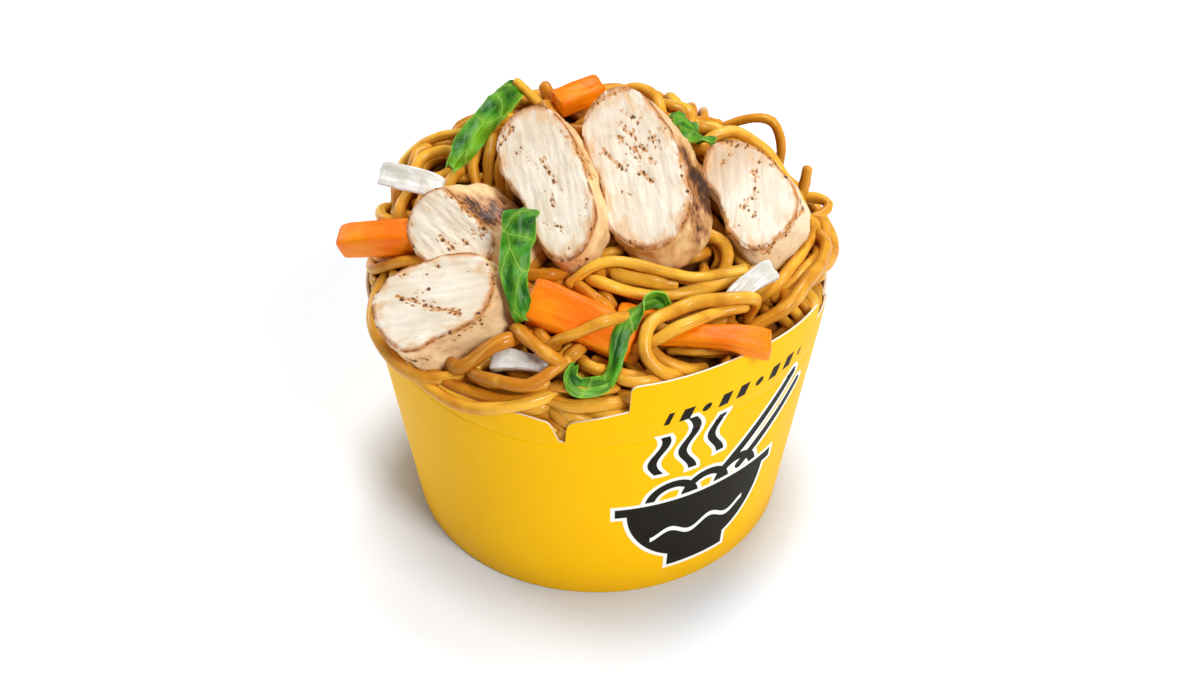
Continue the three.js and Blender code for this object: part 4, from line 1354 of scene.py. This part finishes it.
def evenly(points, spacing):
    points = np.asarray(points, float)
    lengths = lengthsAlong(points)
    count = max(int(lengths[-1] / spacing), 3)
    marks = np.linspace(0, lengths[-1], count + 1)
    return np.stack([np.interp(marks, lengths, points[:, k]) for k in range(3)], -1)


def throughPoints(places, spacing):
    fine = [curvePoint(places, i / 200) for i in range(201)]
    return evenly(fine, spacing)


def layFront(heap, floor, roof):
    radius = noodleSet["radius"]
    laid = []
    for strand in front + crossing:
        isOver = strand in crossing
        places = [(x, y, float(heapHeight(x, y))) for x, y in strand]
        track = throughPoints(places, noodleSet["step"])
        ways = unit(track - heap.eye)
        under = np.maximum(heap.top, roof) if isOver else heap.top
        far = heap.support(ways, radius, under)
        i, j = heap.cellOf(ways)
        free = np.ones(len(ways), bool) if isOver else far < floor[i, j] + noodleSet["press"]
        highest = noodleSet["highest"] + (noodleSet["overRise"] if isOver else 0)
        free &= far + radius < heap.skin[i, j] + highest
        start, end = longestRun(free)
        if end - start < 6:
            print("front noodle left out", strand[0])
            continue
        points = heap.eye + ways[start:end] * drape(far[start:end], 60)[:, None]
        points = tuckEnds(evenOut(ringTooWide(points, radius), 4), heap.eye)
        heap.stamp(points, radius)
        laid.append(points)
    return laid


def tubeArrays(points, radius, random):
    # rings of vertices along a path, with rounded ends, and each vertex's own place on the noodle
    sides = noodleSet["sides"]
    tangents = unit(np.gradient(points, axis=0))
    normal = np.cross(tangents[0], (0.3, 0.2, 1.0))
    normal /= np.linalg.norm(normal)
    frames = []
    for tangent in tangents:
        normal = normal - tangent * (normal @ tangent)
        normal /= np.linalg.norm(normal)
        frames.append((normal, np.cross(tangent, normal)))
    turns = np.linspace(0, 2 * math.pi, sides, endpoint=False)
    marks = np.linspace(0, 1, len(points))
    swing = np.sin(marks * random.uniform(6, 14) + random.uniform(0, 6))
    swing += 0.5 * np.sin(marks * random.uniform(20, 40) + random.uniform(0, 6))
    waves = 1 + noodleSet["unevenness"] * swing
    squash = random.uniform(0.88, 1.12)
    section = 1 + 0.035 * np.cos(3 * turns + random.uniform(0, 6)) + 0.03 * np.cos(2 * turns)
    spin = random.uniform(0, 3.14) + marks * random.uniform(-2, 2)
    caps = noodleSet["caps"]
    rows = [(points[0] + tangents[0] * radius * shift, frames[0], radius * scale, spin[0])
            for shift, scale in caps]
    rows += list(zip(points, frames, radius * waves, spin))
    rows += [(points[-1] - tangents[-1] * radius * shift, frames[-1], radius * scale, spin[-1])
             for shift, scale in reversed(caps)]
    rings, places = [], []
    for number, (point, (a, b), size, roll) in enumerate(rows):
        x = np.cos(turns + roll) * squash * section
        y = np.sin(turns + roll) / squash * section
        rings.append(point + (a * x[:, None] + b * y[:, None]) * size)
        places.append(np.stack([np.full(sides, number * noodleSet["spacing"]), np.cos(turns) * radius,
                                np.sin(turns) * radius], -1))
    return np.array(rings), np.array(places) + random.uniform(0, 200, 3)


def makeNoodles(name, strands, heap, seed):
    random = np.random.default_rng(seed)
    sides = noodleSet["sides"]
    vertices, faces, tonesAndShade, shadeDepths, undersideShades, places = [], [], [], [], [], []
    base = 0
    for strand in strands:
        points = evenly(strand, noodleSet["spacing"])
        size = noodleSet["radius"] * random.uniform(*noodleSet["sizes"])
        rings, own = tubeArrays(points, size, random)
        count = len(rings)
        flat = rings.reshape(-1, 3)
        vertices.append(flat)
        places.append(own.reshape(-1, 3))
        row, side = np.meshgrid(np.arange(count - 1), np.arange(sides), indexing="ij")
        a = base + row * sides + side
        b = base + row * sides + (side + 1) % sides
        faces.append(np.stack([a, b, b + sides, a + sides], -1).reshape(-1, 4))
        base += len(flat)
        # painted shade: strands towards the left front get a higher tone, which the material turns darker
        # brown
        shade = smooth(0, 50, -flat[:, 0]) * smooth(0, 40, -flat[:, 1])
        tonesAndShade.append(random.random() + 0.7 * shade)
        offset = flat - heap.eye
        far = np.linalg.norm(offset, axis=1)
        ways = offset / far[:, None]
        i, j = heap.cellOf(ways)
        # painted shade: how deep each vertex lies under the heap's skin, painted darker brown deeper down
        shadeDepths.append(heap.skin[i, j] - far)
        # painted shade: 0 on the side of a noodle facing out of the heap, 1 on the side facing into it
        middles = np.repeat(rings.mean(axis=1), sides, axis=0)
        undersideShades.append(0.5 - 0.5 * ((flat - middles) * ways).sum(1) / size)
    mesh = bpy.data.meshes.new(name)
    mesh.from_pydata((np.concatenate(vertices) * mm).tolist(), [], np.concatenate(faces).tolist())
    piece = bpy.data.objects.new(name, mesh)
    bpy.context.scene.collection.objects.link(piece)
    paintPoints(piece, "tone", np.concatenate(tonesAndShade))
    paintPoints(piece, "shadeDepth", np.concatenate(shadeDepths))
    paintPoints(piece, "under", np.concatenate(undersideShades))
    paintPoints(piece, "strandPlace", np.concatenate(places), "FLOAT_VECTOR")
    editAll(piece, bpy.ops.mesh.remove_doubles, threshold=1e-7)
    finishSurface(piece)
    return piece


def makeCore(heap):
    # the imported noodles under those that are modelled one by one
    def place(spot):
        tilt = math.acos(max(-1, min(1, spot.z)))
        azimuth = math.degrees(math.atan2(spot.x, -spot.y))
        widest = math.radians(heapSet["widest"]) - 0.2
        if tilt < widest:
            way = np.array(tuple(spot))
            i, j = heap.cellOf(way)
            far = heap.skin[i, j] - heapSet["coreDepth"] - 0.3
            lumps = 0.9 * noise.noise(Vector(tuple(way * far)) * 0.35)
            point = heap.eye + way * (far + lumps)
        else:
            drop = (tilt - widest) / (math.pi - widest)
            height = 42 - 39.4 * smooth(0, 0.75, drop)
            reach = 60 * (1 - smooth(0.75, 1, drop))
            point = np.array(tuple(polar(azimuth, reach, height)))
        point = ringTooWide(point[None], 0.6)[0]
        return Vector(point)

    piece = newPiece("heapCore", bpy.ops.mesh.primitive_uv_sphere_add, segments=120, ring_count=90,
                     radius=1)
    moveVertices(piece, place)
    finishSurface(piece)
    return piece


def noodleMaterial():
    paint = Paint("friedNoodle")
    tone = paint.value("tone")
    shadeDepth = paint.value("shadeDepth")
    place = paint.vector("strandPlace")
    cloud = paint.grain(0.16, 3, coords=place)
    grooves = paint.grain(1.3, 3, (0.05, 1, 1), place, 0.6)
    fleck = paint.grain(1.6, 3, (0.5, 1, 1), place, 0.65)
    colour = paint.coats(
        rgb(252, 194, 62),
        # tone: a random tone for each strand plus painted shade on the left front strands; the darkest brown
        # comes mostly from that painted shade
        (tone.least(1), rgb(214, 136, 24)),
        (tone.rise(0.9, 1.7), rgb(152, 88, 20)),
        (cloud.rise(0.45, 0.7) * 0.6, rgb(192, 112, 12)),
        (cloud.rise(0.42, 0.25) * 0.6, rgb(255, 212, 92)),
        (grooves.rise(0.56, 0.68) * 0.45, rgb(176, 98, 14)),
        (grooves.rise(0.42, 0.3) * 0.3, rgb(255, 222, 126)),
        (fleck.rise(0.6, 0.8) * 0.35, rgb(142, 74, 14)),
        # painted shade on the side of each noodle that faces into the heap
        (paint.value("under").rise(0.15, 0.75) * 0.6, rgb(178, 102, 12)),
        # painted shade: darker brown the deeper the noodle lies in the heap
        (shadeDepth.rise(1.5, 7.0) * 0.75, rgb(124, 62, 14)),
    )
    normal = paint.bump(grooves, 0.16, 0.5, paint.bump(fleck, 0.06, 0.3))
    return paint.finish(colour, 0.42 + fleck * 0.2, normal, (0.12, (1.0, 0.4, 0.08), 1.2), (0.3, 0.16),
                        Specular_IOR_Level=0.15)


def coreMaterial():
    paint = Paint("shadedNoodleCore")
    streaks = paint.grain(260, 3, (1, 1, 2))
    # painted shade: the core is dark brown because the noodles deep in the heap lie in shade
    colour = paint.blend(streaks.rise(0.35, 0.65), rgb(140, 80, 22), rgb(74, 38, 10))
    return paint.finish(colour, 0.7 + streaks * 0.2, paint.bump(streaks, 0.8, 0.6), Specular_IOR_Level=0.1)


heap = HeightMap()
floor, roof = castToppings(heap)
print("toppings measured")
standingStrands = [throughPoints([polar(*place) for place in places], noodleSet["step"])
                   for places in standing]
for strand in standingStrands:
    heap.stamp(strand, noodleSet["radius"])
deepStrands = layNoodles(heap, floor, noodleSet["deep"])
print("deep noodles laid", len(deepStrands))
frontStrands = layFront(heap, floor, roof)
upperStrands = layNoodles(heap, floor, noodleSet["upper"])
print("upper noodles laid", len(upperStrands))
# two pieces, so that neither has too many faces
nearStrands = [strand for strand in upperStrands if strand[:, 1].mean() < 0]
backStrands = [strand for strand in upperStrands if strand[:, 1].mean() >= 0]
friedNoodle = noodleMaterial()
for name, strands, seed in (("deepNoodles", deepStrands, 21), ("nearNoodles", nearStrands, 22),
                            ("placedNoodles", standingStrands + frontStrands, 23),
                            ("backNoodles", backStrands, 24)):
    noodles = makeNoodles(name, strands, heap, seed)
    settle(noodles, friedNoodle, "noodle", "noodles")
    print(name, "triangles", len(noodles.data.polygons) * 2)
settle(makeCore(heap), coreMaterial(), "noodle", "noodles")
print("noodles made")


studioSet = {
    "floor": rgb(210, 216, 224),
    # painted light: how much the floor glows of itself, and where the glow starts
    "glow": 0.4,
    "glowStart": (43, 66),  # millimetres from the middle, none to all
    "world": 0.14,
    # place in metres, size in metres, power in watts
    "lights": [
        ((1.0, -1.2, 1.4), 0.6, 30.0),
        ((0.3, 0.6, 2.0), 0.7, 25.0),
        ((-1.55, 1.1, 0.8), 0.7, 13.0),
    ],
}


def makeStudio():
    ground = newPiece("studioFloor", bpy.ops.mesh.primitive_plane_add, size=4, location=(0, 0, -0.0001))
    paint = Paint("studioFloor")
    x, y, _ = paint.parts(paint.coords)
    near, far = studioSet["glowStart"]
    # painted light: the floor glows more the further it lies from the tub, which leaves a painted shadow
    # round the tub's foot
    away = (x * x + y * y).root().rise(near * mm, far * mm) * studioSet["glow"]
    glow = paint.blend(away, (0.0, 0.0, 0.0), (1.0, 1.0, 1.0))
    ground.data.materials.append(paint.finish(studioSet["floor"], 0.8, Emission_Color=glow,
                                              Emission_Strength=1.0))
    world = bpy.data.worlds.new("studio")
    world.use_nodes = True
    background = world.node_tree.nodes["Background"]
    background.inputs["Color"].default_value = (1, 1, 1, 1)
    background.inputs["Strength"].default_value = studioSet["world"]
    bpy.context.scene.world = world
    for place, size, power in studioSet["lights"]:
        deselectAll()
        bpy.ops.object.light_add(type="AREA", location=place)
        lamp = bpy.context.object
        lamp.data.size = size
        lamp.data.energy = power
        lamp.rotation_euler = (Vector((0, 0, 0.05)) - Vector(place)).to_track_quat("-Z", "Y").to_euler()
    bpy.context.scene.view_settings.view_transform = "Standard"


makeStudio()
print("studio made")
